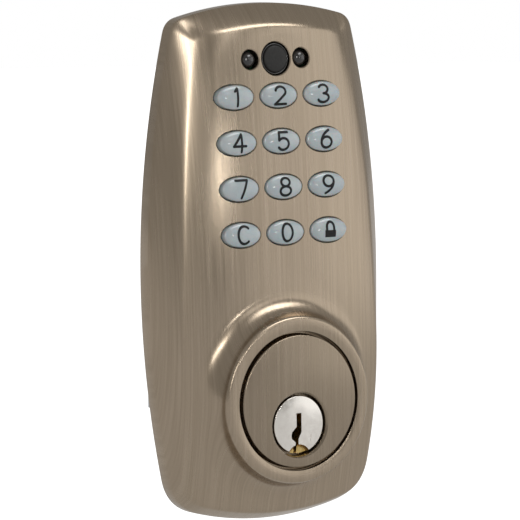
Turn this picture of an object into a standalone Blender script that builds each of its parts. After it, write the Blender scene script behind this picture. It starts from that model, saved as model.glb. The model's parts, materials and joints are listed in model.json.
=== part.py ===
"""Keypad smart lock: the outside unit of a keypad deadbolt.

Run it with: blender --background --python part.py

Everything is modelled face up, as it would lie on a bench: X to the right, Y up the door and Z out
of the door, measured from the door's surface. The empty lock_frame then stands it up, so that in
the world the keypad faces -Y, +Z is up, and the origin is the centre of the door's cross bore.
"""

import math

import bmesh
import bpy
from mathutils import Matrix, Vector

MM = 0.001

# --- escutcheon outline, at the door ---
PLATE_HALF_WIDTH = 34.0 * MM
PLATE_TOP = 98.8 * MM
PLATE_BOTTOM = -31.2 * MM
WIDEST_Y = 32.0 * MM
SIDE_RADIUS = 252.0 * MM
TOP_RADIUS = 88.0 * MM
BOTTOM_RADIUS = 77.0 * MM
TOP_CORNER = 2.8 * MM
BOTTOM_CORNER = 6.3 * MM
LEAST_CORNER = 0.6 * MM

# --- escutcheon depth ---
WALL = 2.0 * MM
LIP_HEIGHT = 3.8 * MM
INNER_ROOM = 12.8 * MM
ARCH_CENTRE_Y = 13.4 * MM
ARCH_DROP_TOP = 5.2 * MM
ARCH_DROP_BOTTOM = 5.2 * MM
SHOULDER_DROP = 3.4 * MM
SHOULDER_POWER = 8
TAPER_SIDE = 5.9 * MM
TAPER_SIDE_BOTTOM = 0.9 * MM
TAPER_TOP = 4.8 * MM
TAPER_BOTTOM = 2.2 * MM

# --- boss around the cylinder ---
RING_PROUD = 4.9 * MM
RING_RADIUS = 21.0 * MM
RING_EDGE = 0.9 * MM
FILLET = 6.4 * MM
FILLET_SINK = 0.25 * MM
BOSS_SEAT = 8.0 * MM
RING_LEDGE = 2.0 * MM

# --- clearances ---
GAP = 0.3 * MM
EDGE_GAP = 0.75 * MM
OVERCUT = 1.0 * MM
WALL_CUT = 4.0 * MM

# --- cylinder, plug and pins ---
CYLINDER_PROUD = 0.4 * MM
CYLINDER_FACE_RADIUS = 16.8 * MM
CYLINDER_FLANGE_RADIUS = 18.4 * MM
CYLINDER_BODY_RADIUS = 15.5 * MM
CYLINDER_REAR = -10.0 * MM
PLUG_DROP = 6.0 * MM
PLUG_RADIUS = 6.35 * MM
PLUG_HEAD_OVERHANG = 0.9 * MM
PLUG_HEAD_LENGTH = 3.0 * MM
PLUG_RECESS = 0.7 * MM
PLUG_HEAD_GAP = 0.6 * MM
KEYWAY_TOP = 2.8 * MM
KEYWAY_END = -8.0 * MM
KEYWAY_BOTTOM = -9.0 * MM
SCALLOP_RADIUS = 2.4 * MM
SCALLOP_DEPTH = 1.0 * MM
PIN_COUNT = 5
PIN_RADIUS = 1.2 * MM
PIN_PITCH = 3.97 * MM
PIN_FIRST = 6.5 * MM
PIN_LENGTHS = (5.6, 4.4, 6.0, 4.9, 5.3)
DRIVER_LENGTH = 5.0 * MM
SPRING_WIRE = 0.16 * MM
SPRING_TURNS = 4
COVER_SEAT = 13.4 * MM
COVER_THICKNESS = 1.0 * MM
COVER_HALF_WIDTH = 2.2 * MM

# --- plug retention, tailpiece and its retainer ---
CLIP_THICKNESS = 0.8 * MM
CLIP_OVERHANG = 0.65 * MM
PLUG_TAIL = 0.4 * MM
GROOVE_DEPTH = 1.0 * MM
DOG_OUTER = 5.2 * MM
DOG_INNER = 2.4 * MM
DOG_HEIGHT = 2.2 * MM
DOG_ANGLE = 130.0
DOG_PLAY = 2.0
ROOT = 0.2 * MM
LOST_MOTION = 90.0
HUB_RADIUS = 5.6 * MM
HUB_THICKNESS = 1.8 * MM
RETAINER_WALL = 1.2 * MM
RETAINER_EAR_END = 2.2 * MM
RETAINER_EAR_HALF_HEIGHT = 3.6 * MM
TAIL_HALF_WIDTH = 2.75 * MM
TAIL_HALF_THICKNESS = 1.0 * MM
TAIL_END = -52.0 * MM

# --- cylinder clamp and mounting posts ---
CLAMP_RADIUS = 25.6 * MM
CLAMP_THICKNESS = 1.5 * MM
CLAMP_SCREW_RADIUS_PLACE = 22.4 * MM
CLAMP_SCREW_BITE = 2.0 * MM
CLAMP_PILOT = 2.6 * MM
POST_X = 20.2 * MM
POST_RADIUS = 3.4 * MM
POST_END = -13.0 * MM
POST_THREAD_RADIUS = 2.0 * MM
POST_THREAD_DEPTH = 12.0 * MM

# --- back plate, gasket and cable outlet ---
GASKET_THICKNESS = 1.5 * MM
GASKET_OPENING = 25.4 * MM
BACK_PLATE_THICKNESS = 1.0 * MM
GROMMET_Y = 20.6 * MM
GROMMET_RADIUS = 3.0 * MM
GROMMET_BORE = 1.8 * MM
GROMMET_FLANGE = 3.9 * MM
PLATE_SCREW_X = 21.6 * MM
PLATE_SCREW_Y = (34.0 * MM, 70.0 * MM)
SCREW_BOSS_RADIUS = 2.3 * MM
SCREW_RADIUS = 1.1 * MM
SCREW_HEAD_RADIUS = 2.2 * MM
SCREW_HEAD_HEIGHT = 0.9 * MM
SCREW_LENGTH = 5.0 * MM

# --- keypad ---
KEY_SPACE_X = 2.1 * MM
KEY_SPACE_Y = 5.2 * MM
KEY_ROW_TOP = 76.0 * MM
KEY_HALF_WIDTH = 5.35 * MM
KEY_HALF_HEIGHT = 3.1 * MM
KEY_PROUD = 1.1 * MM
KEY_FLANGE = 0.85 * MM
KEY_FLANGE_THICKNESS = 0.6 * MM
KEY_TRAVEL = 0.8 * MM
KEY_NAMES = (("1", "2", "3"), ("4", "5", "6"), ("7", "8", "9"), ("clear", "0", "lock"))
BUMP_RADIUS = 2.2 * MM
BUMP_HEIGHT = 0.5 * MM
MEMBRANE_THICKNESS = 0.6 * MM
MEMBRANE_MARGIN_X = 0.5 * MM
MEMBRANE_MARGIN_Y = 4.0 * MM
BOARD_THICKNESS = 1.0 * MM
BOARD_HALF_WIDTH = 18.9 * MM
BOARD_BELOW = 27.5 * MM
BOARD_ABOVE = 31.0 * MM
BOARD_SCREW_X = 15.4 * MM
BOARD_SCREW_BITE = 2.4 * MM
BOARD_SCREW_HEAD = 0.6 * MM
LOW_STANDOFF_RISE = 4.2 * MM
STANDOFF_RADIUS = 1.9 * MM

# --- windows above the keys ---
LENS_RISE = 26.3 * MM
LENS_PITCH = 7.5 * MM
SENSOR_RADIUS = 3.9 * MM
SENSOR_FLANGE = 0.7 * MM
LED_RADIUS = 2.2 * MM
LED_FLANGE = 0.4 * MM

# --- parts on the back of the board ---
CHIP_SIZE = 7.0 * MM
CHIP_HEIGHT = 1.0 * MM
CHIP_PLACE = (-6.0 * MM, -8.0 * MM)
BUZZER_RADIUS = 4.5 * MM
BUZZER_HEIGHT = 2.0 * MM
BUZZER_PLACE = (9.0 * MM, -12.0 * MM)
HEADER_HALF_LENGTH = 5.5 * MM
HEADER_DEPTH = 4.5 * MM
HEADER_HEIGHT = 2.6 * MM
HEADER_V = -22.75 * MM
HEADER_WALL = 0.8 * MM
LIGHT_SENSOR_HALF = 1.6 * MM

# --- what the rest is worked out from the sizes above ---
PLATE_DEPTH = INNER_ROOM + WALL
RING_DEPTH = PLATE_DEPTH + RING_PROUD
PLUG_HEAD_RADIUS = PLUG_RADIUS + PLUG_HEAD_OVERHANG
CLIP_RADIUS = PLUG_RADIUS + CLIP_OVERHANG
KEY_PITCH_X = 2 * KEY_HALF_WIDTH + KEY_SPACE_X
KEY_PITCH_Y = 2 * KEY_HALF_HEIGHT + KEY_SPACE_Y
FACE_HALF_WIDTH = PLATE_HALF_WIDTH - TAPER_SIDE - (KEY_ROW_TOP - WIDEST_Y) ** 2 / (2 * SIDE_RADIUS)
KEYS_REACH = KEY_PITCH_X + KEY_HALF_WIDTH + KEY_FLANGE
FACE_DIP = SHOULDER_DROP * (KEYS_REACH / FACE_HALF_WIDTH) ** SHOULDER_POWER
FACET_ALLOWANCE = 0.1 * MM
CLAMP_SEAT = BOSS_SEAT - GAP
BACK_PLATE_SEAT = GASKET_THICKNESS + GAP
BOSS_FOOT = BACK_PLATE_SEAT + BACK_PLATE_THICKNESS + GAP
CYLINDER_FACE = RING_DEPTH + CYLINDER_PROUD
CYLINDER_SHOULDER = RING_DEPTH - RING_LEDGE - GAP
PLUG_FACE = CYLINDER_FACE - PLUG_RECESS
PLUG_HEAD_BACK = PLUG_FACE - PLUG_HEAD_LENGTH
PLUG_BORE = PLUG_RADIUS + GAP
CLIP_FRONT = CYLINDER_REAR - GAP
CLIP_BACK = CLIP_FRONT - CLIP_THICKNESS
PLUG_REAR = CLIP_BACK - GAP - PLUG_TAIL
HUB_FRONT = PLUG_REAR - DOG_HEIGHT - GAP
HUB_BACK = HUB_FRONT - HUB_THICKNESS
RETAINER_REAR = HUB_BACK - GAP - RETAINER_WALL
RETAINER_INNER = CLIP_RADIUS + GAP
RETAINER_SCREW_X = RETAINER_INNER + RETAINER_WALL + SCREW_HEAD_RADIUS + GAP
KEYPAD_Y = KEY_ROW_TOP - 1.5 * KEY_PITCH_Y
KEY_FLANGE_TOP = -(WALL + GAP + FACE_DIP + FACET_ALLOWANCE)
KEY_FLANGE_BOTTOM = KEY_FLANGE_TOP - KEY_FLANGE_THICKNESS
MEMBRANE_TOP = KEY_FLANGE_BOTTOM - KEY_TRAVEL - GAP - BUMP_HEIGHT
MEMBRANE_BOTTOM = MEMBRANE_TOP - MEMBRANE_THICKNESS
BOARD_FRONT = MEMBRANE_BOTTOM - GAP
BOARD_BACK = BOARD_FRONT - BOARD_THICKNESS


def clear_scene():
    for obj in list(bpy.data.objects):
        bpy.data.objects.remove(obj, do_unlink=True)


def new_collection(name):
    made = bpy.data.collections.new(name)
    bpy.context.scene.collection.children.link(made)
    return made


def material(name, colour, roughness, metallic=0.0, alpha=1.0):
    made = bpy.data.materials.new(name)
    made.use_nodes = True
    shader = made.node_tree.nodes["Principled BSDF"]
    shader.inputs["Base Color"].default_value = (*colour, 1.0)
    shader.inputs["Roughness"].default_value = roughness
    shader.inputs["Metallic"].default_value = metallic
    shader.inputs["Alpha"].default_value = alpha
    made.diffuse_color = (*colour, 1.0)
    return made


def empty(name, parent=None, location=(0, 0, 0), rotation=(0, 0, 0)):
    made = bpy.data.objects.new(name, None)
    made.empty_display_size = 10 * MM
    made.parent = parent
    made.location = location
    made.rotation_euler = rotation
    PARTS.objects.link(made)
    return made


def from_bmesh(name, bm, home, parent, location=(0, 0, 0), rotation=(0, 0, 0)):
    mesh = bpy.data.meshes.new(name)
    bmesh.ops.recalc_face_normals(bm, faces=bm.faces)
    bm.to_mesh(mesh)
    bm.free()
    made = bpy.data.objects.new(name, mesh)
    made.parent = parent
    made.location = location
    made.rotation_euler = rotation
    home.objects.link(made)
    if home is CUTTERS:
        made.hide_render = True
        made.display_type = "WIRE"
    return made


def turned(name, profile, home, parent, location=(0, 0, 0), steps=48, scale=(1, 1, 1)):
    """A profile of (radius, height) points from top to bottom, turned about Z."""
    mesh = bpy.data.meshes.new(name)
    bm = bmesh.new()
    points = [bm.verts.new((radius, 0, height)) for radius, height in profile]
    for first, second in zip(points, points[1:]):
        bm.edges.new((first, second))
    bm.to_mesh(mesh)
    bm.free()
    made = bpy.data.objects.new(name, mesh)
    made.parent = parent
    made.location = location
    made.scale = scale
    home.objects.link(made)
    screw = made.modifiers.new("turn", "SCREW")
    screw.steps = steps
    screw.render_steps = steps
    screw.use_merge_vertices = True
    screw.merge_threshold = 0.00001
    if home is CUTTERS:
        made.hide_render = True
        made.display_type = "WIRE"
    return made


def block(name, low, high, home, parent, location=(0, 0, 0), bevel=0.0):
    """A box between two corners."""
    bm = bmesh.new()
    bmesh.ops.create_cube(bm, size=1.0)
    low, high = Vector(low), Vector(high)
    size = high - low
    bmesh.ops.scale(bm, vec=size, verts=bm.verts)
    bmesh.ops.translate(bm, vec=(low + high) / 2, verts=bm.verts)
    made = from_bmesh(name, bm, home, parent, location)
    if bevel:
        rounding = made.modifiers.new("edges", "BEVEL")
        rounding.width = bevel
        rounding.segments = 2
    return made


def rod(name, radius, low, high, home, parent, place=(0, 0), sides=24, scale=(1, 1)):
    """A cylinder along Z from low to high, with its axis at place."""
    bm = bmesh.new()
    bmesh.ops.create_cone(
        bm, cap_ends=True, segments=sides, radius1=radius, radius2=radius, depth=high - low
    )
    bmesh.ops.scale(bm, vec=(scale[0], scale[1], 1), verts=bm.verts)
    bmesh.ops.translate(bm, vec=(0, 0, (low + high) / 2), verts=bm.verts)
    return from_bmesh(name, bm, home, parent, (place[0], place[1], 0))


def slab(name, outline, low, high, home, parent, location=(0, 0, 0)):
    """A flat outline of (x, y) points, extruded from low to high."""
    bm = bmesh.new()
    face = bm.faces.new([bm.verts.new((x, y, low)) for x, y in outline])
    top = bmesh.ops.extrude_face_region(bm, geom=[face])["geom"]
    risen = [item for item in top if isinstance(item, bmesh.types.BMVert)]
    bmesh.ops.translate(bm, vec=(0, 0, high - low), verts=risen)
    return from_bmesh(name, bm, home, parent, location)


def cut(target, cutter, operation="DIFFERENCE"):
    change = target.modifiers.new(cutter.name, "BOOLEAN")
    change.operation = operation
    change.solver = "EXACT"
    change.object = cutter


def finish(obj, look):
    obj.data.materials.append(look)
    return obj


# --- shapes of the escutcheon ---


def arch(y):
    """How far the face's centre line lies below its highest point at this height."""
    if y > ARCH_CENTRE_Y:
        return ARCH_DROP_TOP * ((y - ARCH_CENTRE_Y) / (PLATE_TOP - TAPER_TOP - ARCH_CENTRE_Y)) ** 2
    span = ARCH_CENTRE_Y - PLATE_BOTTOM - TAPER_BOTTOM
    return ARCH_DROP_BOTTOM * ((ARCH_CENTRE_Y - y) / span) ** 2


def side_taper(y):
    """The side walls lean in more at the top than beside the boss."""
    share = min(max((y - PLATE_BOTTOM) / (WIDEST_Y - PLATE_BOTTOM), 0.0), 1.0)
    return TAPER_SIDE_BOTTOM + (TAPER_SIDE - TAPER_SIDE_BOTTOM) * share


def half_width(y, lean, inset=0.0):
    return PLATE_HALF_WIDTH - inset - lean * side_taper(y) - (y - WIDEST_Y) ** 2 / (2 * SIDE_RADIUS)


def corner_of(end_height, lean, inset):
    """Where the side meets the top or bottom arc."""
    x = half_width(end_height(0), lean, inset)
    for _ in range(6):
        x = half_width(end_height(x), lean, inset)
    return Vector((x, end_height(x)))


def along(curve, start, stop, count):
    """Points of a curve from start up to, not including, stop."""
    return [curve(start + (stop - start) * i / count) for i in range(count)]


def corner_arc(before, corner, after, count=4):
    """A rounded corner as a quadratic curve between its two tangent points."""

    def curve(t):
        return before * (1 - t) ** 2 + corner * 2 * t * (1 - t) + after * t * t

    return along(curve, 0, 1, count)


def plate_outline(lean=0.0, inset=0.0):
    """The outline at a share of the taper, anticlockwise from the bottom's middle."""

    def top(x):
        return PLATE_TOP - inset - lean * TAPER_TOP - x * x / (2 * TOP_RADIUS)

    def bottom(x):
        return PLATE_BOTTOM + inset + lean * TAPER_BOTTOM + x * x / (2 * BOTTOM_RADIUS)

    def on_bottom(x):
        return Vector((x, bottom(x)))

    def on_top(x):
        return Vector((x, top(x)))

    def on_side(y):
        return Vector((half_width(y, lean, inset), y))

    low = corner_of(bottom, lean, inset)
    high = corner_of(top, lean, inset)
    low_round = max(BOTTOM_CORNER - inset, LEAST_CORNER)
    high_round = max(TOP_CORNER - inset, LEAST_CORNER)
    half = along(on_bottom, 0, low.x - low_round, 4)
    half += corner_arc(on_bottom(low.x - low_round), low, on_side(low.y + low_round))
    half += along(on_side, low.y + low_round, high.y - high_round, 10)
    half += corner_arc(on_side(high.y - high_round), high, on_top(high.x - high_round))
    half += along(on_top, high.x - high_round, 0, 4) + [on_top(0)]
    return half + [Vector((-point.x, point.y)) for point in reversed(half[1:-1])]


def face_height(x, y):
    """Height of the face over the door at a place on it."""
    share = min(abs(x) / half_width(y, 1.0), 1.0)
    return PLATE_DEPTH - arch(y) - SHOULDER_DROP * share**SHOULDER_POWER


def escutcheon_shell(parent):
    """Side wall and arched face as one open surface, thickened inwards."""
    bm = bmesh.new()

    def ring(points):
        made = [bm.verts.new(point) for point in points]
        return [bm.edges.new(pair) for pair in zip(made, made[1:] + made[:1])]

    foot = plate_outline()
    rings = [ring([(x, y, 0) for x, y in foot]), ring([(x, y, LIP_HEIGHT) for x, y in foot])]
    crease = plate_outline(1.0)
    for share in (0.4, 0.75, 1.0):
        outline = plate_outline(share**1.5)
        points = []
        for (x, y), (edge_x, edge_y) in zip(outline, crease):
            rise = face_height(edge_x, edge_y) - LIP_HEIGHT
            points.append((x, y, LIP_HEIGHT + share * rise))
        rings.append(ring(points))
    middle = Vector((0, WIDEST_Y))
    for share in (0.95, 0.87, 0.75, 0.45):
        outline = [middle + (point - middle) * share for point in crease]
        rings.append(ring([(x, y, face_height(x, y)) for x, y in outline]))
    for first, second in zip(rings, rings[1:]):
        bmesh.ops.bridge_loops(bm, edges=first + second)
    centre = bmesh.ops.contextual_create(bm, geom=rings[-1])["faces"]
    poked = bmesh.ops.poke(bm, faces=centre)["verts"]
    for vert in poked:
        vert.co.z = face_height(vert.co.x, vert.co.y)
    made = from_bmesh("escutcheon", bm, PARTS, parent)
    thick = made.modifiers.new("wall", "SOLIDIFY")
    thick.thickness = WALL
    thick.offset = -1
    thick.use_even_offset = True
    return made


def boss_solid(frame):
    """The ring's flat face, its rounded edge and a fillet that runs out on the arched face."""
    steps = 60
    bm = bmesh.new()
    rings = []
    reach = RING_RADIUS + FILLET
    turns = [math.tau * i / steps for i in range(steps)]

    def ring(radius_and_height):
        made = []
        for turn in turns:
            radius, height = radius_and_height(turn)
            made.append(bm.verts.new((radius * math.cos(turn), radius * math.sin(turn), height)))
        rings.append(made)

    def fillet(share):
        """A point of the fillet, from the upright side (share 0) to the face (share 1)."""

        def place(turn):
            foot = face_height(reach * math.cos(turn), reach * math.sin(turn)) - FILLET_SINK
            highest = min((foot + FILLET - RING_DEPTH + RING_EDGE) / FILLET, 1.0)
            start = math.asin(max(highest, 0.0))
            angle = start + (math.pi / 2 - start) * share
            return reach - FILLET * math.cos(angle), foot + FILLET * (1 - math.sin(angle))

        return place

    ring(lambda turn: (RING_RADIUS - RING_EDGE, RING_DEPTH))
    ring(lambda turn: (RING_RADIUS - 0.25 * RING_EDGE, RING_DEPTH - 0.3 * RING_EDGE))
    for share in (0, 0.25, 0.5, 0.75, 1):
        ring(fillet(share))
    ring(lambda turn: (reach, BOSS_SEAT))
    for first, second in zip(rings, rings[1:]):
        for i in range(steps):
            j = (i + 1) % steps
            bm.faces.new((first[i], first[j], second[j], second[i]))
    bm.faces.new(rings[0])
    bm.faces.new(rings[-1])
    return from_bmesh("boss_solid", bm, CUTTERS, frame)


def screw_places():
    return [(side * PLATE_SCREW_X, y) for y in PLATE_SCREW_Y for side in (-1, 1)]


def clamp_screw_places():
    place = CLAMP_SCREW_RADIUS_PLACE * math.sqrt(0.5)
    return [(-place, place), (place, -place)]


def key_places():
    """Each key's name and its place in the keypad's own frame."""
    for row, names in enumerate(KEY_NAMES):
        for column, name in enumerate(names):
            yield name, (column - 1) * KEY_PITCH_X, (1.5 - row) * KEY_PITCH_Y


def face_in_keypad(x, v):
    """Height of the face over the keypad's plane, at a place in the keypad's frame."""
    y = KEYPAD_Y + v * math.cos(LEAN)
    return (face_height(x, y) - face_height(0, KEYPAD_Y) + v * math.sin(LEAN)) / math.cos(LEAN)


def make_escutcheon(frame, keypad):
    shell = escutcheon_shell(frame)
    cut(shell, boss_solid(frame), "UNION")
    for number, (x, y) in enumerate(screw_places(), 1):
        top = face_height(abs(x) + SCREW_BOSS_RADIUS, y) - 0.3 * WALL
        post = rod(f"screw_boss_{number}", SCREW_BOSS_RADIUS, BOSS_FOOT, top, CUTTERS, frame, (x, y))
        cut(shell, post, "UNION")
    for number, x in enumerate((-BOARD_SCREW_X, BOARD_SCREW_X), 1):
        for place, v in (("top", LENS_RISE), ("low", LOW_STANDOFF_RISE - BOARD_BELOW)):
            root = face_in_keypad(x, v) - WALL / 2
            post = rod(
                f"standoff_{place}_{number}", STANDOFF_RADIUS, BOARD_FRONT + GAP, root, CUTTERS, keypad,
                (x, v), 16,
            )
            cut(shell, post, "UNION")
    bore = turned(
        "cylinder_bore",
        [
            (0, RING_DEPTH + OVERCUT),
            (CYLINDER_FACE_RADIUS + GAP, RING_DEPTH + OVERCUT),
            (CYLINDER_FACE_RADIUS + GAP, RING_DEPTH - RING_LEDGE),
            (CYLINDER_FLANGE_RADIUS + GAP, RING_DEPTH - RING_LEDGE),
            (CYLINDER_FLANGE_RADIUS + GAP, BOSS_SEAT - OVERCUT),
            (0, BOSS_SEAT - OVERCUT),
        ],
        CUTTERS, frame, steps=60,
    )
    cut(shell, bore)
    for name, x, v in key_places():
        hole = rod(
            f"key_hole_{name}", KEY_HALF_WIDTH + GAP, -WALL_CUT, WALL_CUT, CUTTERS, keypad, (x, v), 24,
            (1, (KEY_HALF_HEIGHT + GAP) / (KEY_HALF_WIDTH + GAP)),
        )
        cut(shell, hole)
    for number, radius in ((-1, LED_RADIUS), (0, SENSOR_RADIUS), (1, LED_RADIUS)):
        place = (number * LENS_PITCH, LENS_RISE)
        hole = rod(
            f"window_{number + 2}", radius + GAP, -WALL_CUT, WALL_CUT, CUTTERS, keypad, place, 28
        )
        cut(shell, hole)
    for number, (x, y) in enumerate(screw_places(), 1):
        pilot = rod(
            f"screw_pilot_{number}", SCREW_RADIUS + GAP, 0, BOSS_FOOT + SCREW_LENGTH, CUTTERS, frame,
            (x, y), 12,
        )
        cut(shell, pilot)
    for number, (x, y) in enumerate(clamp_screw_places(), 1):
        pilot = rod(
            f"clamp_pilot_{number}", SCREW_RADIUS + GAP, 0, BOSS_SEAT + CLAMP_PILOT, CUTTERS, frame,
            (x, y), 12,
        )
        cut(shell, pilot)
    for number, x in enumerate((-BOARD_SCREW_X, BOARD_SCREW_X), 1):
        pilot = rod(
            f"board_pilot_{number}", SCREW_RADIUS + GAP, BOARD_FRONT, -WALL - BOARD_SCREW_HEAD, CUTTERS,
            keypad, (x, LENS_RISE), 12,
        )
        cut(shell, pilot)
    finish(shell, LOOKS["nickel"])


# --- keypad pieces, in the keypad's leaning frame ---


def make_keys(keypad):
    top = KEY_PROUD
    side = KEY_HALF_WIDTH
    flange = KEY_HALF_WIDTH + KEY_FLANGE
    profile = [
        (0, top),
        (0.5 * side, 0.88 * top),
        (0.85 * side, 0.5 * top),
        (side, 0.12 * top),
        (side, KEY_FLANGE_TOP),
        (flange, KEY_FLANGE_TOP),
        (flange, KEY_FLANGE_BOTTOM),
        (0, KEY_FLANGE_BOTTOM),
    ]
    for name, x, v in key_places():
        place = (x, v, face_in_keypad(0, v))
        stretch = (1, KEY_HALF_HEIGHT / KEY_HALF_WIDTH, 1)
        finish(turned(f"key_{name}", profile, PARTS, keypad, place, 24, stretch), LOOKS["key"])


def make_membrane(keypad):
    half_x = KEY_PITCH_X + KEY_HALF_WIDTH + MEMBRANE_MARGIN_X
    half_y = 1.5 * KEY_PITCH_Y + MEMBRANE_MARGIN_Y
    sheet = block(
        "keypad_membrane", (-half_x, -half_y, MEMBRANE_BOTTOM), (half_x, half_y, MEMBRANE_TOP), PARTS,
        keypad,
    )
    for name, x, v in key_places():
        bump = rod(
            f"bump_{name}", BUMP_RADIUS, MEMBRANE_TOP - MEMBRANE_THICKNESS / 2, MEMBRANE_TOP + BUMP_HEIGHT,
            CUTTERS, keypad, (x, v), 12,
        )
        cut(sheet, bump, "UNION")
    finish(sheet, LOOKS["silicone"])


def make_board(keypad):
    board = block(
        "keypad_board",
        (-BOARD_HALF_WIDTH, -BOARD_BELOW, BOARD_BACK),
        (BOARD_HALF_WIDTH, BOARD_ABOVE, BOARD_FRONT),
        PARTS, keypad,
    )
    for number, x in enumerate((-BOARD_SCREW_X, BOARD_SCREW_X), 1):
        hole = rod(
            f"board_hole_{number}", SCREW_RADIUS + GAP, BOARD_BACK - OVERCUT, BOARD_FRONT + OVERCUT,
            CUTTERS, keypad, (x, LENS_RISE), 12,
        )
        cut(board, hole)
        # The head sits behind the board, and the shank reaches into the standoff.
        screw = turned(
            f"board_screw_{number}",
            screw_profile(BOARD_THICKNESS + BOARD_SCREW_BITE, BOARD_SCREW_HEAD), PARTS, keypad,
            (x, LENS_RISE, BOARD_BACK - GAP), 14,
        )
        finish(screw, LOOKS["steel"])
    finish(board, LOOKS["board"])


def screw_profile(length, head=SCREW_HEAD_HEIGHT):
    """A screw whose head lies below Z 0 and whose shank points up."""
    return [
        (0, length),
        (SCREW_RADIUS * 0.7, length),
        (SCREW_RADIUS, length - 0.4 * MM),
        (SCREW_RADIUS, 0),
        (SCREW_HEAD_RADIUS, 0),
        (SCREW_HEAD_RADIUS * 0.9, -head),
        (0, -head),
    ]


def make_board_parts(keypad):
    back = BOARD_BACK - GAP
    x, v = CHIP_PLACE
    half = CHIP_SIZE / 2
    chip = block(
        "microcontroller", (x - half, v - half, back - CHIP_HEIGHT), (x + half, v + half, back), PARTS,
        keypad, bevel=0.15 * MM,
    )
    finish(chip, LOOKS["black"])
    sound_hole = 1.0 * MM
    hole_floor = back - 0.8 * BUZZER_HEIGHT
    buzzer = turned(
        "buzzer",
        [
            (0, back),
            (BUZZER_RADIUS, back),
            (BUZZER_RADIUS, back - BUZZER_HEIGHT),
            (sound_hole, back - BUZZER_HEIGHT),
            (sound_hole, hole_floor),
            (0, hole_floor),
        ],
        PARTS, keypad, (*BUZZER_PLACE, 0), 28,
    )
    finish(buzzer, LOOKS["black"])
    low = HEADER_V - HEADER_DEPTH / 2
    high = HEADER_V + HEADER_DEPTH / 2
    header = block(
        "cable_header",
        (-HEADER_HALF_LENGTH, low, back - HEADER_HEIGHT),
        (HEADER_HALF_LENGTH, high, back),
        PARTS, keypad,
    )
    slot = block(
        "header_slot",
        (HEADER_WALL - HEADER_HALF_LENGTH, low + HEADER_WALL, back - HEADER_HEIGHT - OVERCUT),
        (HEADER_HALF_LENGTH - HEADER_WALL, high - HEADER_WALL, back - HEADER_WALL),
        CUTTERS, keypad,
    )
    cut(header, slot)
    finish(header, LOOKS["white"])
    front = BOARD_FRONT + GAP
    half = LIGHT_SENSOR_HALF
    sensor = block(
        "light_sensor", (-half, -half, front), (half, half, front + CHIP_HEIGHT), PARTS, keypad,
        (0, LENS_RISE, 0), 0.15 * MM,
    )
    finish(sensor, LOOKS["black"])


def make_windows(keypad):
    level = face_in_keypad(0, LENS_RISE)
    flange = SENSOR_RADIUS + SENSOR_FLANGE
    sensor = turned(
        "sensor_lens",
        [
            (0, 0.35 * MM),
            (0.5 * SENSOR_RADIUS, 0.28 * MM),
            (0.85 * SENSOR_RADIUS, 0.08 * MM),
            (SENSOR_RADIUS, -0.15 * MM),
            (SENSOR_RADIUS, KEY_FLANGE_TOP),
            (flange, KEY_FLANGE_TOP),
            (flange, KEY_FLANGE_BOTTOM),
            (0, KEY_FLANGE_BOTTOM),
        ],
        PARTS, keypad, (0, LENS_RISE, level), 28,
    )
    finish(sensor, LOOKS["lens"])
    foot = BOARD_FRONT + GAP
    for side, name in ((-1, "status_led_left"), (1, "status_led_right")):
        led = turned(
            name,
            [
                (0, level - 0.1 * MM),
                (0.5 * LED_RADIUS, level - 0.4 * MM),
                (0.87 * LED_RADIUS, level - 1.2 * MM),
                (LED_RADIUS, level - 2.1 * MM),
                (LED_RADIUS, foot + 0.8 * MM),
                (LED_RADIUS + LED_FLANGE, foot + 0.8 * MM),
                (LED_RADIUS + LED_FLANGE, foot),
                (0, foot),
            ],
            PARTS, keypad, (side * LENS_PITCH, LENS_RISE, 0), 24,
        )
        finish(led, LOOKS["lens"])


# --- cylinder, plug, pins ---


def pin_depths():
    return [PLUG_FACE - PIN_FIRST - number * PIN_PITCH for number in range(PIN_COUNT)]


def upright(name, radius, low, high, home, parent, depth, sides=12):
    """A round pin or bore standing along Y at a depth, centred on the keyway."""
    bm = bmesh.new()
    bmesh.ops.create_cone(
        bm, cap_ends=True, segments=sides, radius1=radius, radius2=radius, depth=high - low
    )
    bmesh.ops.rotate(bm, verts=bm.verts, cent=(0, 0, 0), matrix=Matrix.Rotation(math.radians(-90), 3, "X"))
    bmesh.ops.translate(bm, vec=(0, (low + high) / 2, 0), verts=bm.verts)
    return from_bmesh(name, bm, home, parent, (0, 0, depth))


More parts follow.
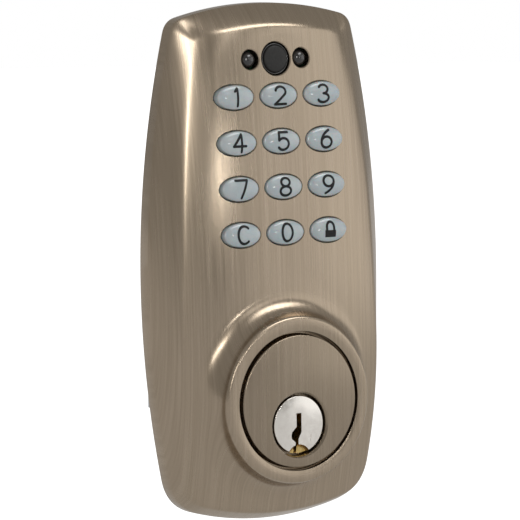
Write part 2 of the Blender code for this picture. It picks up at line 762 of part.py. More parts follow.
def make_cylinder(frame, plug_axis):
    body = turned(
        "cylinder_body",
        [
            (0, CYLINDER_FACE),
            (CYLINDER_FACE_RADIUS - 0.4 * MM, CYLINDER_FACE),
            (CYLINDER_FACE_RADIUS, CYLINDER_FACE - 0.4 * MM),
            (CYLINDER_FACE_RADIUS, CYLINDER_SHOULDER),
            (CYLINDER_FLANGE_RADIUS, CYLINDER_SHOULDER),
            (CYLINDER_FLANGE_RADIUS, BOSS_SEAT),
            (CYLINDER_BODY_RADIUS, BOSS_SEAT),
            (CYLINDER_BODY_RADIUS, CYLINDER_REAR),
            (0, CYLINDER_REAR),
        ],
        PARTS, frame, steps=60,
    )
    head_bore = PLUG_HEAD_RADIUS + PLUG_HEAD_GAP
    countersink = 0.5 * MM
    bore = turned(
        "plug_bore",
        [
            (0, CYLINDER_FACE + OVERCUT),
            (head_bore + OVERCUT + countersink, CYLINDER_FACE + OVERCUT),
            (head_bore, CYLINDER_FACE - countersink),
            (head_bore, PLUG_HEAD_BACK - GAP),
            (PLUG_BORE, PLUG_HEAD_BACK - GAP),
            (PLUG_BORE, CYLINDER_REAR - OVERCUT),
            (0, CYLINDER_REAR - OVERCUT),
        ],
        CUTTERS, plug_axis, steps=36,
    )
    cut(body, bore)
    depths = pin_depths()
    slot = block(
        "cover_slot",
        (-COVER_HALF_WIDTH - GAP, COVER_SEAT, depths[-1] - 3 * MM),
        (COVER_HALF_WIDTH + GAP, CYLINDER_FLANGE_RADIUS + 2 * MM, depths[0] + 2.2 * MM),
        CUTTERS, frame,
    )
    cut(body, slot)
    for number, depth in enumerate(depths, 1):
        chamber = upright(
            f"chamber_{number}", PIN_RADIUS + GAP, -PLUG_DROP, COVER_SEAT + OVERCUT, CUTTERS, frame, depth
        )
        cut(body, chamber)
    for number, x in enumerate((-RETAINER_SCREW_X, RETAINER_SCREW_X), 1):
        pilot = rod(
            f"retainer_pilot_{number}", SCREW_RADIUS + GAP, CYLINDER_REAR - OVERCUT,
            CYLINDER_REAR + SCREW_LENGTH, CUTTERS, plug_axis, (x, 0), 12,
        )
        cut(body, pilot)
    finish(body, LOOKS["nickel"])
    cover = block(
        "spring_cover",
        (-COVER_HALF_WIDTH, COVER_SEAT + GAP, depths[-1] - 2.6 * MM),
        (COVER_HALF_WIDTH, COVER_SEAT + GAP + COVER_THICKNESS, depths[0] + 1.9 * MM),
        PARTS, frame, bevel=0.2 * MM,
    )
    finish(cover, LOOKS["steel"])


def keyway_outline():
    """The warded slot, seen from the front, about the plug's axis."""
    points = (
        (-0.7, -1.2), (-2.0, -2.2), (-2.0, -4.4), (-0.8, -5.2), (-0.8, KEYWAY_BOTTOM / MM),
        (0.45, KEYWAY_BOTTOM / MM), (0.45, -4.4), (0.8, -3.6), (0.7, -2.6),
        (0.7, KEYWAY_TOP / MM), (-0.7, KEYWAY_TOP / MM),
    )
    return [(x * MM, y * MM) for x, y in points]


def sector_outline(start, sweep):
    """A sector of the dogs' ring, from an angle and through a sweep in degrees."""
    steps = 12
    angles = [math.radians(start + sweep * i / steps) for i in range(steps + 1)]
    outer = [(DOG_OUTER * math.cos(a), DOG_OUTER * math.sin(a)) for a in angles]
    inner = [(DOG_INNER * math.cos(a), DOG_INNER * math.sin(a)) for a in reversed(angles)]
    return outer + inner


def make_plug(plug_axis):
    groove = PLUG_RADIUS - GROOVE_DEPTH
    plug = turned(
        "plug",
        [
            (0, PLUG_FACE),
            (PLUG_HEAD_RADIUS - 0.5 * MM, PLUG_FACE),
            (PLUG_HEAD_RADIUS, PLUG_FACE - 0.4 * MM),
            (PLUG_HEAD_RADIUS, PLUG_HEAD_BACK),
            (PLUG_RADIUS, PLUG_HEAD_BACK),
            (PLUG_RADIUS, CLIP_FRONT + 0.2 * MM),
            (groove, CLIP_FRONT + 0.2 * MM),
            (groove, CLIP_BACK - GAP),
            (PLUG_RADIUS - 0.3 * MM, CLIP_BACK - GAP),
            (PLUG_RADIUS - 0.3 * MM, PLUG_REAR),
            (0, PLUG_REAR),
        ],
        PARTS, plug_axis, steps=36,
    )
    stop_gap = math.degrees(GAP / DOG_OUTER)
    dog = slab(
        "plug_dog", sector_outline(180 - DOG_ANGLE / 2 + stop_gap, DOG_ANGLE),
        PLUG_REAR - DOG_HEIGHT, PLUG_REAR + ROOT, CUTTERS, plug_axis,
    )
    cut(plug, dog, "UNION")
    keyway = slab("keyway", keyway_outline(), KEYWAY_END, PLUG_FACE + OVERCUT, CUTTERS, plug_axis)
    cut(plug, keyway)
    scallop = rod(
        "scallop", SCALLOP_RADIUS, PLUG_FACE - SCALLOP_DEPTH, PLUG_FACE + OVERCUT, CUTTERS, plug_axis,
        (0, -PLUG_HEAD_RADIUS), 24,
    )
    cut(plug, scallop)
    for number, depth in enumerate(pin_depths(), 1):
        bore = upright(
            f"plug_chamber_{number}", PIN_RADIUS + GAP, 0, PLUG_RADIUS + OVERCUT, CUTTERS, plug_axis, depth
        )
        cut(plug, bore)
    finish(plug, LOOKS["chrome"])
    clip = turned(
        "retaining_clip",
        [
            (groove + GAP, CLIP_FRONT),
            (CLIP_RADIUS, CLIP_FRONT),
            (CLIP_RADIUS, CLIP_BACK),
            (groove + GAP, CLIP_BACK),
            (groove + GAP, CLIP_FRONT),
        ],
        PARTS, plug_axis, steps=36,
    )
    mouth_half = 3.2 * MM
    mouth = block(
        "clip_mouth",
        (-mouth_half, -2 * CLIP_RADIUS, CLIP_BACK - OVERCUT),
        (mouth_half, -mouth_half, CLIP_FRONT + OVERCUT),
        CUTTERS, plug_axis,
    )
    cut(clip, mouth)
    finish(clip, LOOKS["steel"])


def make_pins(frame, plug_axis):
    """Pin stacks with their joints at the shear line, as with the right key in."""
    key_pin_top = PLUG_RADIUS - 0.15 * MM
    driver_foot = PLUG_BORE - PLUG_DROP + 0.1 * MM
    for number, depth in enumerate(pin_depths(), 1):
        length = PIN_LENGTHS[number - 1] * MM
        pin = upright(
            f"key_pin_{number}", PIN_RADIUS, key_pin_top - length, key_pin_top, PARTS, plug_axis, depth
        )
        finish(pin, LOOKS["brass"])
        driver = upright(
            f"driver_pin_{number}", PIN_RADIUS, driver_foot, driver_foot + DRIVER_LENGTH, PARTS, frame, depth
        )
        finish(driver, LOOKS["brass"])
        make_spring(f"pin_spring_{number}", driver_foot + DRIVER_LENGTH + GAP, COVER_SEAT, depth, frame)


def make_spring(name, low, high, depth, frame):
    radius = PIN_RADIUS - SPRING_WIRE - 0.05 * MM
    low += SPRING_WIRE
    high -= SPRING_WIRE
    count = SPRING_TURNS * 9
    curve = bpy.data.curves.new(name, "CURVE")
    curve.dimensions = "3D"
    curve.bevel_depth = SPRING_WIRE
    curve.bevel_resolution = 2
    curve.use_fill_caps = True
    coil = curve.splines.new("POLY")
    coil.points.add(count)
    for index, point in enumerate(coil.points):
        angle = math.tau * SPRING_TURNS * index / count
        height = low + (high - low) * index / count
        point.co = (radius * math.cos(angle), height, radius * math.sin(angle), 1)
    made = bpy.data.objects.new(name, curve)
    made.parent = frame
    made.location = (0, 0, depth)
    PARTS.objects.link(made)
    finish(made, LOOKS["steel"])


def make_tailpiece(tail_axis):
    stop_gap = math.degrees(GAP / DOG_OUTER)
    hub = rod("tailpiece", HUB_RADIUS, HUB_BACK, HUB_FRONT, PARTS, tail_axis, sides=36)
    start = 180 + DOG_ANGLE / 2 + 2 * stop_gap + DOG_PLAY
    # The sweep is what is left of the circle after the plug's dog, the lost motion and the play.
    sweep = 360 - DOG_ANGLE - LOST_MOTION - 4 * stop_gap - 2 * DOG_PLAY
    dog = slab(
        "hub_dog", sector_outline(start, sweep), HUB_FRONT - ROOT, PLUG_REAR - GAP, CUTTERS, tail_axis
    )
    cut(hub, dog, "UNION")
    bar = block(
        "tail_bar",
        (-TAIL_HALF_THICKNESS, -TAIL_HALF_WIDTH, TAIL_END),
        (TAIL_HALF_THICKNESS, TAIL_HALF_WIDTH, HUB_BACK + ROOT),
        CUTTERS, tail_axis,
    )
    cut(hub, bar, "UNION")
    finish(hub, LOOKS["steel"])


def make_tail_retainer(plug_axis, frame):
    foot = CYLINDER_REAR - GAP
    inner = RETAINER_INNER
    outer = inner + RETAINER_WALL
    passage = math.hypot(TAIL_HALF_WIDTH, TAIL_HALF_THICKNESS) + GAP
    hub_seat = HUB_RADIUS + GAP
    cup = turned(
        "tail_retainer",
        [
            (inner, foot),
            (outer, foot),
            (outer, RETAINER_REAR),
            (passage, RETAINER_REAR),
            (passage, RETAINER_REAR + RETAINER_WALL),
            (hub_seat, RETAINER_REAR + RETAINER_WALL),
            (hub_seat, HUB_FRONT),
            (inner, HUB_FRONT),
            (inner, foot),
        ],
        PARTS, plug_axis, steps=36,
    )
    ear = RETAINER_SCREW_X + RETAINER_EAR_END
    ears = block(
        "retainer_ears",
        (-ear, -RETAINER_EAR_HALF_HEIGHT, foot - RETAINER_WALL),
        (ear, RETAINER_EAR_HALF_HEIGHT, foot),
        CUTTERS, plug_axis,
    )
    hollow = rod(
        "retainer_hollow", (inner + outer) / 2, foot - 2 * RETAINER_WALL, foot + OVERCUT, CUTTERS,
        plug_axis, sides=48,
    )
    cut(ears, hollow)
    cut(cup, ears, "UNION")
    for number, x in enumerate((-RETAINER_SCREW_X, RETAINER_SCREW_X), 1):
        hole = rod(
            f"retainer_hole_{number}", SCREW_RADIUS + GAP, foot - 2 * RETAINER_WALL, foot + OVERCUT,
            CUTTERS, plug_axis, (x, 0), 12,
        )
        cut(cup, hole)
        screw = turned(
            f"retainer_screw_{number}", screw_profile(RETAINER_WALL + 0.9 * SCREW_LENGTH), PARTS, frame,
            (x, -PLUG_DROP, foot - RETAINER_WALL - GAP), 14,
        )
        finish(screw, LOOKS["steel"])
    finish(cup, LOOKS["steel"])


# --- what holds the unit together and to the door ---


def make_clamp(frame):
    clamp = rod(
        "cylinder_clamp", CLAMP_RADIUS, CLAMP_SEAT - CLAMP_THICKNESS, CLAMP_SEAT, PARTS, frame, sides=48
    )
    hole = rod(
        "clamp_hole", CYLINDER_BODY_RADIUS + GAP, 0, CLAMP_SEAT + OVERCUT, CUTTERS, frame, sides=48
    )
    cut(clamp, hole)
    for number, place in enumerate(clamp_screw_places(), 1):
        through = rod(
            f"clamp_screw_hole_{number}", SCREW_RADIUS + GAP, 0, CLAMP_SEAT + OVERCUT, CUTTERS, frame,
            place, 12,
        )
        cut(clamp, through)
        screw = turned(
            f"clamp_screw_{number}", screw_profile(CLAMP_THICKNESS + CLAMP_SCREW_BITE), PARTS, frame,
            (*place, CLAMP_SEAT - CLAMP_THICKNESS - GAP), 14,
        )
        finish(screw, LOOKS["steel"])
    finish(clamp, LOOKS["steel"])
    top = CLAMP_SEAT - CLAMP_THICKNESS - GAP
    for side, name in ((-1, "mounting_post_left"), (1, "mounting_post_right")):
        post = turned(
            name,
            [
                (0, top),
                (POST_RADIUS, top),
                (POST_RADIUS, POST_END + 0.5 * MM),
                (POST_RADIUS - 0.5 * MM, POST_END),
                (POST_THREAD_RADIUS, POST_END),
                (POST_THREAD_RADIUS, POST_END + POST_THREAD_DEPTH),
                (0, POST_END + POST_THREAD_DEPTH),
            ],
            PARTS, frame, (side * POST_X, 0, 0), 24,
        )
        finish(post, LOOKS["steel"])


def make_back(frame):
    inset = WALL + EDGE_GAP
    low, high = BACK_PLATE_SEAT, BACK_PLATE_SEAT + BACK_PLATE_THICKNESS
    plate = slab("back_plate", plate_outline(0, inset), low, high, PARTS, frame)
    holes = [("cylinder", CYLINDER_BODY_RADIUS + GAP, (0, 0), 48)]
    holes.append(("post_left", POST_RADIUS + GAP, (-POST_X, 0), 24))
    holes.append(("post_right", POST_RADIUS + GAP, (POST_X, 0), 24))
    holes.append(("grommet", GROMMET_RADIUS + GAP, (0, GROMMET_Y), 24))
    for number, place in enumerate(screw_places(), 1):
        holes.append((f"screw_{number}", SCREW_RADIUS + GAP, place, 12))
    for name, radius, place, sides in holes:
        hole = rod(
            f"back_hole_{name}", radius, low - OVERCUT, high + OVERCUT, CUTTERS, frame, place, sides
        )
        cut(plate, hole)
    finish(plate, LOOKS["steel"])
    gasket = slab("gasket", plate_outline(0, inset), 0, GASKET_THICKNESS, PARTS, frame)
    over = GASKET_THICKNESS + OVERCUT
    opening = rod("gasket_opening", GASKET_OPENING, -OVERCUT, over, CUTTERS, frame, sides=48)
    cut(gasket, opening)
    for number, place in enumerate(screw_places(), 1):
        relief = rod(
            f"gasket_relief_{number}", SCREW_HEAD_RADIUS + GAP, -OVERCUT, over, CUTTERS, frame, place, 20
        )
        cut(gasket, relief)
        screw = turned(
            f"plate_screw_{number}", screw_profile(BACK_PLATE_THICKNESS + SCREW_LENGTH), PARTS, frame,
            (*place, low - GAP), 14,
        )
        finish(screw, LOOKS["steel"])
    finish(gasket, LOOKS["rubber"])
    flange = 0.7 * MM
    grommet = turned(
        "cable_grommet",
        [
            (GROMMET_BORE, high + GAP + flange),
            (GROMMET_FLANGE, high + GAP + flange),
            (GROMMET_FLANGE, high + GAP),
            (GROMMET_RADIUS, high + GAP),
            (GROMMET_RADIUS, low - GAP),
            (GROMMET_FLANGE, low - GAP),
            (GROMMET_FLANGE, low - GAP - flange),
            (GROMMET_BORE, low - GAP - flange),
            (GROMMET_BORE, high + GAP + flange),
        ],
        PARTS, frame, (0, GROMMET_Y, 0), 20,
    )
    finish(grommet, LOOKS["rubber"])


def smooth_all():
    for obj in PARTS.objects:
        if obj.type == "MESH":
            obj.data.shade_smooth()


clear_scene()
PARTS = new_collection("keypad_smart_lock")
CUTTERS = new_collection("cutters")
CUTTERS.hide_render = True
LOOKS = {
    "nickel": material("antique_nickel", (0.36, 0.29, 0.22), 0.35, 1.0),
    "key": material("backlit_key", (0.55, 0.63, 0.66), 0.2),
    "silicone": material("silicone", (0.75, 0.76, 0.74), 0.6),
    "board": material("circuit_board", (0.05, 0.22, 0.09), 0.5),
    "black": material("black_plastic", (0.02, 0.02, 0.02), 0.5),
    "white": material("white_plastic", (0.75, 0.73, 0.68), 0.5),
    "lens": material("dark_window", (0.01, 0.01, 0.012), 0.08),
    "chrome": material("chrome", (0.62, 0.60, 0.56), 0.15, 1.0),
    "brass": material("brass", (0.62, 0.46, 0.18), 0.3, 1.0),
    "steel": material("zinc_plated_steel", (0.55, 0.55, 0.56), 0.4, 1.0),
    "rubber": material("black_rubber", (0.03, 0.03, 0.03), 0.8),
}
LEAN = math.atan(2 * arch(KEYPAD_Y) / (KEYPAD_Y - ARCH_CENTRE_Y))
lock_frame = empty("lock_frame", rotation=(math.radians(90), 0, 0))
keypad_frame = empty(
    "keypad_frame", lock_frame, (0, KEYPAD_Y, face_height(0, KEYPAD_Y)), (-LEAN, 0, 0)
)
plug_frame = empty("plug_frame", lock_frame, (0, -PLUG_DROP, 0))
tail_frame = empty("tail_frame", plug_frame)
make_escutcheon(lock_frame, keypad_frame)
make_keys(keypad_frame)
make_membrane(keypad_frame)
make_board(keypad_frame)
make_board_parts(keypad_frame)
make_windows(keypad_frame)
make_cylinder(lock_frame, plug_frame)
make_plug(plug_frame)
make_pins(lock_frame, plug_frame)
make_tailpiece(tail_frame)
make_tail_retainer(plug_frame, lock_frame)
make_clamp(lock_frame)
make_back(lock_frame)
smooth_all()
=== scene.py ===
# %% [markdown]
# # A keypad lock, dressed piece by piece
#
# The part is an exterior door lock: a brushed nickel shell with twelve rubber keys in it,
# two status lights and a sensor window above them, and a key cylinder in a raised ring
# below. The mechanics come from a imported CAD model, which is loaded first and never moved.
# What shows is then modelled again finely, piece by piece, and every other CAD part keeps
# its shape and gets a real finish.
#
# All lengths are metres in the model's own frame: X runs across the door, Z up it, and the
# outside of the door faces -Y.

import json
import math

import bpy
from mathutils import Matrix, Vector

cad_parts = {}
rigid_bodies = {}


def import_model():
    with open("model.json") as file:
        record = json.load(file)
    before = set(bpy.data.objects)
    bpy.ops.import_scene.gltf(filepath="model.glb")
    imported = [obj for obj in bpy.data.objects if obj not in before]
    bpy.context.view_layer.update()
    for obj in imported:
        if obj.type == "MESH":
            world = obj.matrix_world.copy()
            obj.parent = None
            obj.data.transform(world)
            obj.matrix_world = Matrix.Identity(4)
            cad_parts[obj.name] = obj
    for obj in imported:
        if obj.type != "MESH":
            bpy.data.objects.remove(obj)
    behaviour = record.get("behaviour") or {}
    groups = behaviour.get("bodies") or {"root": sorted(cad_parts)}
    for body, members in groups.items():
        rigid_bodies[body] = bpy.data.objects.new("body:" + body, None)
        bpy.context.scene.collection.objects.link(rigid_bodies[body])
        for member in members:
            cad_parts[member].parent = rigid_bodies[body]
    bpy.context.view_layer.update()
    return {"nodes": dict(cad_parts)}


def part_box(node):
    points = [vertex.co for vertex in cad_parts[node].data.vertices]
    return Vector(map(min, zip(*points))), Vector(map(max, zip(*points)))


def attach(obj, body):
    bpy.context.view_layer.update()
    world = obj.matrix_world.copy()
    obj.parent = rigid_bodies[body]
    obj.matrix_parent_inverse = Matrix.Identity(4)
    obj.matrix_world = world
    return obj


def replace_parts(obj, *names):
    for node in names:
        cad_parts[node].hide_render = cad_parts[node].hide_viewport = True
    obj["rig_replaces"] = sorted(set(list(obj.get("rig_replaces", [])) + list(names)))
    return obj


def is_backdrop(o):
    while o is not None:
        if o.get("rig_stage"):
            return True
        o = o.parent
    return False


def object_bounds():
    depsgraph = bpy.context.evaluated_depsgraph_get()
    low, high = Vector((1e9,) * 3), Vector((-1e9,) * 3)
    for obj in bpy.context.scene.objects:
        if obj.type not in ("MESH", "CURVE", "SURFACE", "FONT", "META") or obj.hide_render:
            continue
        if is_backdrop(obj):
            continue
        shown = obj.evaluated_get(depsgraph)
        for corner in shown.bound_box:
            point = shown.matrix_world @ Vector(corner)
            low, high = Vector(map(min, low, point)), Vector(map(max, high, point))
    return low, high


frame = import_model()
MM = 0.001
for plain in list(bpy.data.materials):
    plain.name = "cad_" + plain.name  # frees the names for the real finishes

# %% [markdown]
# ## Sizes
#
# A shell that is modelled again has to land exactly where the CAD says, or the keys would
# stand crooked in their holes. So the outer sizes are measured on the CAD nodes, and only
# the values that a box can't tell, such as how strongly the face is arched, are written
# down here.

# %% Sizes measured on the CAD nodes
shell_low, shell_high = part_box("escutcheon")
PLATE_HALF_WIDTH = shell_high.x
PLATE_TOP = shell_high.z
PLATE_BOTTOM = shell_low.z
RING_DEPTH = -shell_low.y

CYLINDER_FACE = -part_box("cylinder_body")[0].y
CYLINDER_REAR = -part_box("cylinder_body")[1].y
plug_low, plug_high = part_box("plug")
PLUG_FACE = -plug_low.y
PLUG_DROP = -(plug_low.z + plug_high.z) / 2
PLUG_HEAD_RADIUS = plug_high.x
print("ring, cylinder and plug stand proud by, mm:")
print([round(depth / MM, 2) for depth in (RING_DEPTH, CYLINDER_FACE, PLUG_FACE)])

# %% Sizes of the plate's form
WIDEST_Y = 32.0 * MM
SIDE_RADIUS = 252.0 * MM
TOP_RADIUS = 88.0 * MM
BOTTOM_RADIUS = 77.0 * MM
TOP_CORNER = 2.8 * MM
CREASE_CORNER = 0.5 * MM
BOTTOM_CORNER = 6.3 * MM
LEAST_CORNER = 0.4 * MM
WALL = 2.0 * MM
LIP_HEIGHT = 3.8 * MM
PLATE_DEPTH = 14.8 * MM
ARCH_CENTRE_Y = 13.4 * MM
ARCH_DROP = 5.2 * MM
SHOULDER_DROP = 3.4 * MM
SHOULDER_POWER = 3.5
TAPER_SIDE = 5.9 * MM
TAPER_SIDE_BOTTOM = 0.9 * MM
CREASE_BOW = 0.85
TAPER_TOP = 5.4 * MM
TAPER_BOTTOM = 2.2 * MM
RING_RADIUS = 21.0 * MM
RING_EDGE = 0.9 * MM
FILLET = 6.4 * MM
RING_LEDGE = 2.0 * MM
GAP = 0.3 * MM
CYLINDER_RADIUS = 16.6 * MM
CYLINDER_FLANGE = 18.4 * MM
CYLINDER_BODY = 15.5 * MM
BOSS_SEAT = 8.0 * MM
BORE_RADIUS = CYLINDER_RADIUS + 0.9 * MM

# %% Sizes of the keypad
KEY_PITCH_X = 12.8 * MM
KEY_PITCH_Y = 11.4 * MM
KEYPAD_Y = 58.9 * MM
KEY_HALF_WIDTH = 5.3 * MM
KEY_HALF_HEIGHT = 3.0 * MM
KEY_GAP = 0.2 * MM
KEY_PROUD = 1.1 * MM
KEY_RIM = 0.13 * MM
KEY_ROWS = (("1", "2", "3"), ("4", "5", "6"), ("7", "8", "9"), ("clear", "0", "lock"))
LENS_RISE = 26.3 * MM
LENS_PITCH = 7.5 * MM
SENSOR_RADIUS = 3.9 * MM
LED_RADIUS = 2.2 * MM
RIM_CHAMFER = 0.22 * MM

# %% [markdown]
# ## The plate as formulas
#
# Four gentle arcs with rounded corners make the plate's outline. The face bows outwards
# along its length, so both ends lie nearer the door, and it falls off towards the sides.
# One function gives the outline at any lean of the side wall, another the height of the
# face at any place. The shell, the rims of the key holes and the keypad's own leaning
# frame are all worked out from these two.


# %% The outline and the face
def arch(y):
    """How far the face's centre line lies under its highest point."""
    if y > ARCH_CENTRE_Y:
        span = PLATE_TOP - TAPER_TOP - ARCH_CENTRE_Y
    else:
        span = ARCH_CENTRE_Y - PLATE_BOTTOM - TAPER_BOTTOM
    return ARCH_DROP * ((y - ARCH_CENTRE_Y) / span) ** 2


def eased(share, soft=0.25):
    """Climbs evenly to 1 and stays there, with a soft bend instead of a kink."""
    beyond = min(max(share - 1 + soft, 0.0), 2 * soft)
    return min(max(share, 0.0), 1 + soft) - beyond**2 / (4 * soft)


def half_width(y, lean, inset=0.0):
    """Half the plate's width; the side walls lean in more at the top than at the ring."""
    share = eased((y - PLATE_BOTTOM) / (WIDEST_Y - PLATE_BOTTOM))
    taper = TAPER_SIDE_BOTTOM + (TAPER_SIDE - TAPER_SIDE_BOTTOM) * share
    bow = (y - WIDEST_Y) ** 2 / (2 * SIDE_RADIUS)
    return PLATE_HALF_WIDTH - inset - lean * taper - bow * (1 - lean * (1 - CREASE_BOW))


def face_height(x, y):
    """Height of the face over the door."""
    share = min(abs(x) / half_width(y, 1.0), 1.0)
    return PLATE_DEPTH - arch(y) - SHOULDER_DROP * share**SHOULDER_POWER


def along(curve, start, stop, count):
    """Points of a curve from start up to, not including, stop."""
    return [curve(start + (stop - start) * i / count) for i in range(count)]


def bend(before, corner, after, count):
    """A rounded corner: a quadratic curve between its two tangent points."""
    return along(
        lambda t: before * (1 - t) ** 2 + corner * 2 * t * (1 - t) + after * t * t, 0, 1, count
    )


def plate_outline(lean, inset=0.0):
    """The plate's outline at a share of the lean, anticlockwise from the bottom's middle."""

    def bottom(x):
        return Vector((x, PLATE_BOTTOM + inset + lean * TAPER_BOTTOM + x * x / (2 * BOTTOM_RADIUS)))

    def top(x):
        return Vector((x, PLATE_TOP - inset - lean * TAPER_TOP - x * x / (2 * TOP_RADIUS)))

    def side(y):
        return Vector((half_width(y, lean, inset), y))

    def corner(end):
        x = half_width(end(0).y, lean, inset)
        for _ in range(6):
            x = half_width(end(x).y, lean, inset)
        return end(x)

    low, high = corner(bottom), corner(top)
    low_round = max(BOTTOM_CORNER - inset, LEAST_CORNER)
    high_round = max(TOP_CORNER + lean * (CREASE_CORNER - TOP_CORNER) - inset, LEAST_CORNER)
    half = along(bottom, 0, low.x - low_round, 22)
    half += bend(bottom(low.x - low_round), low, side(low.y + low_round), 10)
    half += along(side, low.y + low_round, high.y - high_round, 48)
    half += bend(side(high.y - high_round), high, top(high.x - high_round), 8)
    half += along(top, high.x - high_round, 0, 24) + [top(0)]
    return half + [Vector((-point.x, point.y)) for point in reversed(half[1:-1])]


FOOT_LINE = plate_outline(0.0)
CREASE_LINE = plate_outline(1.0)
SPOKES = len(FOOT_LINE)
print("points round the plate:", SPOKES)

# %% [markdown]
# ## Frames to model in
#
# A round piece is easiest to model about the Z axis at the origin. Two frames then carry
# it to its place: the front frame turns Z outwards from the door, and the keypad frame
# also leans it back with the arch of the face at the keypad's middle.

# %% The front frame and the keypad frame
FRONT = Matrix(((1, 0, 0), (0, 0, -1), (0, 1, 0))).to_4x4()
LEAN = math.atan(2 * arch(KEYPAD_Y) / (KEYPAD_Y - ARCH_CENTRE_Y))
KEYPAD = (
    FRONT
    @ Matrix.Translation((0, KEYPAD_Y, face_height(0, KEYPAD_Y)))
    @ Matrix.Rotation(-LEAN, 4, "X")
)


def face_in_keypad(x, v):
    """Height of the face over the keypad's plane, at a place in the keypad's frame."""
    y = KEYPAD_Y + v * math.cos(LEAN)
    rise = face_height(x, y) - face_height(0, KEYPAD_Y)
    return (rise + v * math.sin(LEAN)) / math.cos(LEAN)


def key_places():
    """Each key's name and its place in the keypad frame."""
    for row, names in enumerate(KEY_ROWS):
        for column, name in enumerate(names):
            yield name, (column - 1) * KEY_PITCH_X, (1.5 - row) * KEY_PITCH_Y


print("the keypad leans back by", round(math.degrees(LEAN), 2), "degrees")

# %% [markdown]
# ## Helpers for modelling by hand
#
# Everything below is made the way one would at the screen: draw a wire by extruding a
# point, spin or extrude it into a body, cut it with another body, and round its edges with
# a Bevel modifier. An operator works on whatever is selected, and the loaded CAD nodes
# come in selected, so each helper starts by deselecting everything.


# %% Draw a wire, spin it, or fill and extrude it
def edit(piece, mode="VERT"):
    """Go into edit mode on this piece alone, with all of it selected."""
    bpy.ops.object.select_all(action="DESELECT")
    bpy.context.view_layer.objects.active = piece
    piece.select_set(True)
    bpy.ops.object.mode_set(mode="EDIT")
    bpy.ops.mesh.select_mode(type=mode)
    bpy.ops.mesh.select_all(action="SELECT")


def wire(name, points):
    """A wire drawn point by point; left in edit mode."""
    bpy.ops.object.select_all(action="DESELECT")
    bpy.ops.mesh.primitive_plane_add(size=MM)
    piece = bpy.context.object
    piece.name = piece.data.name = name
    edit(piece)
    bpy.ops.mesh.merge(type="CENTER")
    points = [Vector(point) for point in points]
    bpy.ops.transform.translate(value=points[0])
    for before, after in zip(points, points[1:]):
        bpy.ops.mesh.extrude_region_move(TRANSFORM_OT_translate={"value": after - before})
    bpy.ops.mesh.select_all(action="SELECT")
    return piece


def close_up():
    """Merge seams and poles and turn the faces outwards; leaves edit mode."""
    bpy.ops.mesh.select_all(action="SELECT")
    bpy.ops.mesh.remove_doubles(threshold=0.0001 * MM)
    bpy.ops.mesh.normals_make_consistent(inside=False)
    bpy.ops.object.mode_set(mode="OBJECT")


def turned(name, profile, steps=96, squash=1.0):
    """A body spun about Z from (radius, height) points; squash makes it oval."""
    piece = wire(name, [(radius, 0, height) for radius, height in profile])
    bpy.ops.mesh.spin(steps=steps, angle=math.tau, center=(0, 0, 0), axis=(0, 0, 1))
    bpy.ops.mesh.select_all(action="SELECT")
    bpy.ops.transform.resize(value=(1, squash, 1), center_override=(0, 0, 0))
    close_up()
    return piece


def prism(name, outline, low, high):
    """A straight body from an outline in the XY plane, between two heights."""
    piece = wire(name, [(x, y, low) for x, y in outline])
    bpy.ops.mesh.edge_face_add()
    bpy.ops.mesh.extrude_region_move(TRANSFORM_OT_translate={"value": (0, 0, high - low)})
    close_up()
    return piece


# %% Lay a sheet of squares over a formula
def sheet(name, columns, rows, place):
    """A grid whose point (column, row) is put at place(column, row); seams are merged."""
    bpy.ops.object.select_all(action="DESELECT")
    bpy.ops.mesh.primitive_grid_add(x_subdivisions=columns, y_subdivisions=rows, size=1)
    piece = bpy.context.object
    piece.name = piece.data.name = name
    for vert in piece.data.vertices:
        column = round((vert.co.x + 0.5) * columns)
        row = round((vert.co.y + 0.5) * rows)
        vert.co = place(column, row)
    edit(piece)
    close_up()
    return piece


# %% Cut, round, join and put in place
def apply_modifier(piece, kind, **settings):
    """Add a modifier, set it and apply it."""
    bpy.ops.object.select_all(action="DESELECT")
    bpy.context.view_layer.objects.active = piece
    piece.select_set(True)
    modifier = piece.modifiers.new(kind.lower(), kind)
    for setting, value in settings.items():
        setattr(modifier, setting, value)
    bpy.ops.object.modifier_apply(modifier=modifier.name)


def cut(piece, cutter, operation="DIFFERENCE"):
    """Take the cutter's body out of the piece, or add it, and throw the cutter away."""
    apply_modifier(piece, "BOOLEAN", object=cutter, operation=operation, solver="EXACT")
    bpy.data.objects.remove(cutter)


def soften(piece, width, segments=3, angle=30):
    """Round every edge sharper than the angle."""
    apply_modifier(
        piece, "BEVEL", width=width, segments=segments, limit_method="ANGLE",
        angle_limit=math.radians(angle), use_clamp_overlap=True,
    )


def join(pieces, name):
    """Several pieces as one mesh."""
    bpy.ops.object.select_all(action="DESELECT")
    for piece in pieces:
        piece.select_set(True)
    bpy.context.view_layer.objects.active = pieces[0]
    bpy.ops.object.join()
    pieces[0].name = pieces[0].data.name = name
    return pieces[0]


def put(piece, place):
    """Move the mesh itself to its place, so that the object stays at the origin."""
    bpy.ops.object.select_all(action="DESELECT")
    bpy.context.view_layer.objects.active = piece
    piece.select_set(True)
    piece.matrix_world = place
    bpy.ops.object.transform_apply(location=True, rotation=True, scale=True)
    return piece


def dress(piece, look, body, *nodes, slot=None, smooth=35):
    """Finish a piece: smooth shading, its material, the body it rides on, what it replaces."""
    bpy.ops.object.select_all(action="DESELECT")
    bpy.context.view_layer.objects.active = piece
    piece.select_set(True)
    bpy.ops.object.shade_smooth_by_angle(angle=math.radians(smooth))
    if not piece.data.materials:
        piece.data.materials.append(look)
    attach(piece, body)
    if nodes:
        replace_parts(piece, *nodes)
    slot or look.name
    return piece


# %% [markdown]
# ## Finishes
#
# A finish is a Principled shader whose colour, roughness and relief come from noise read
# on the piece's own coordinates. Three small helpers do all the wiring: one makes a noise,
# which a Mapping node can stretch into brush lines, one turns it into a colour, and one
# into a range of numbers for roughness. A bump node takes the relief.


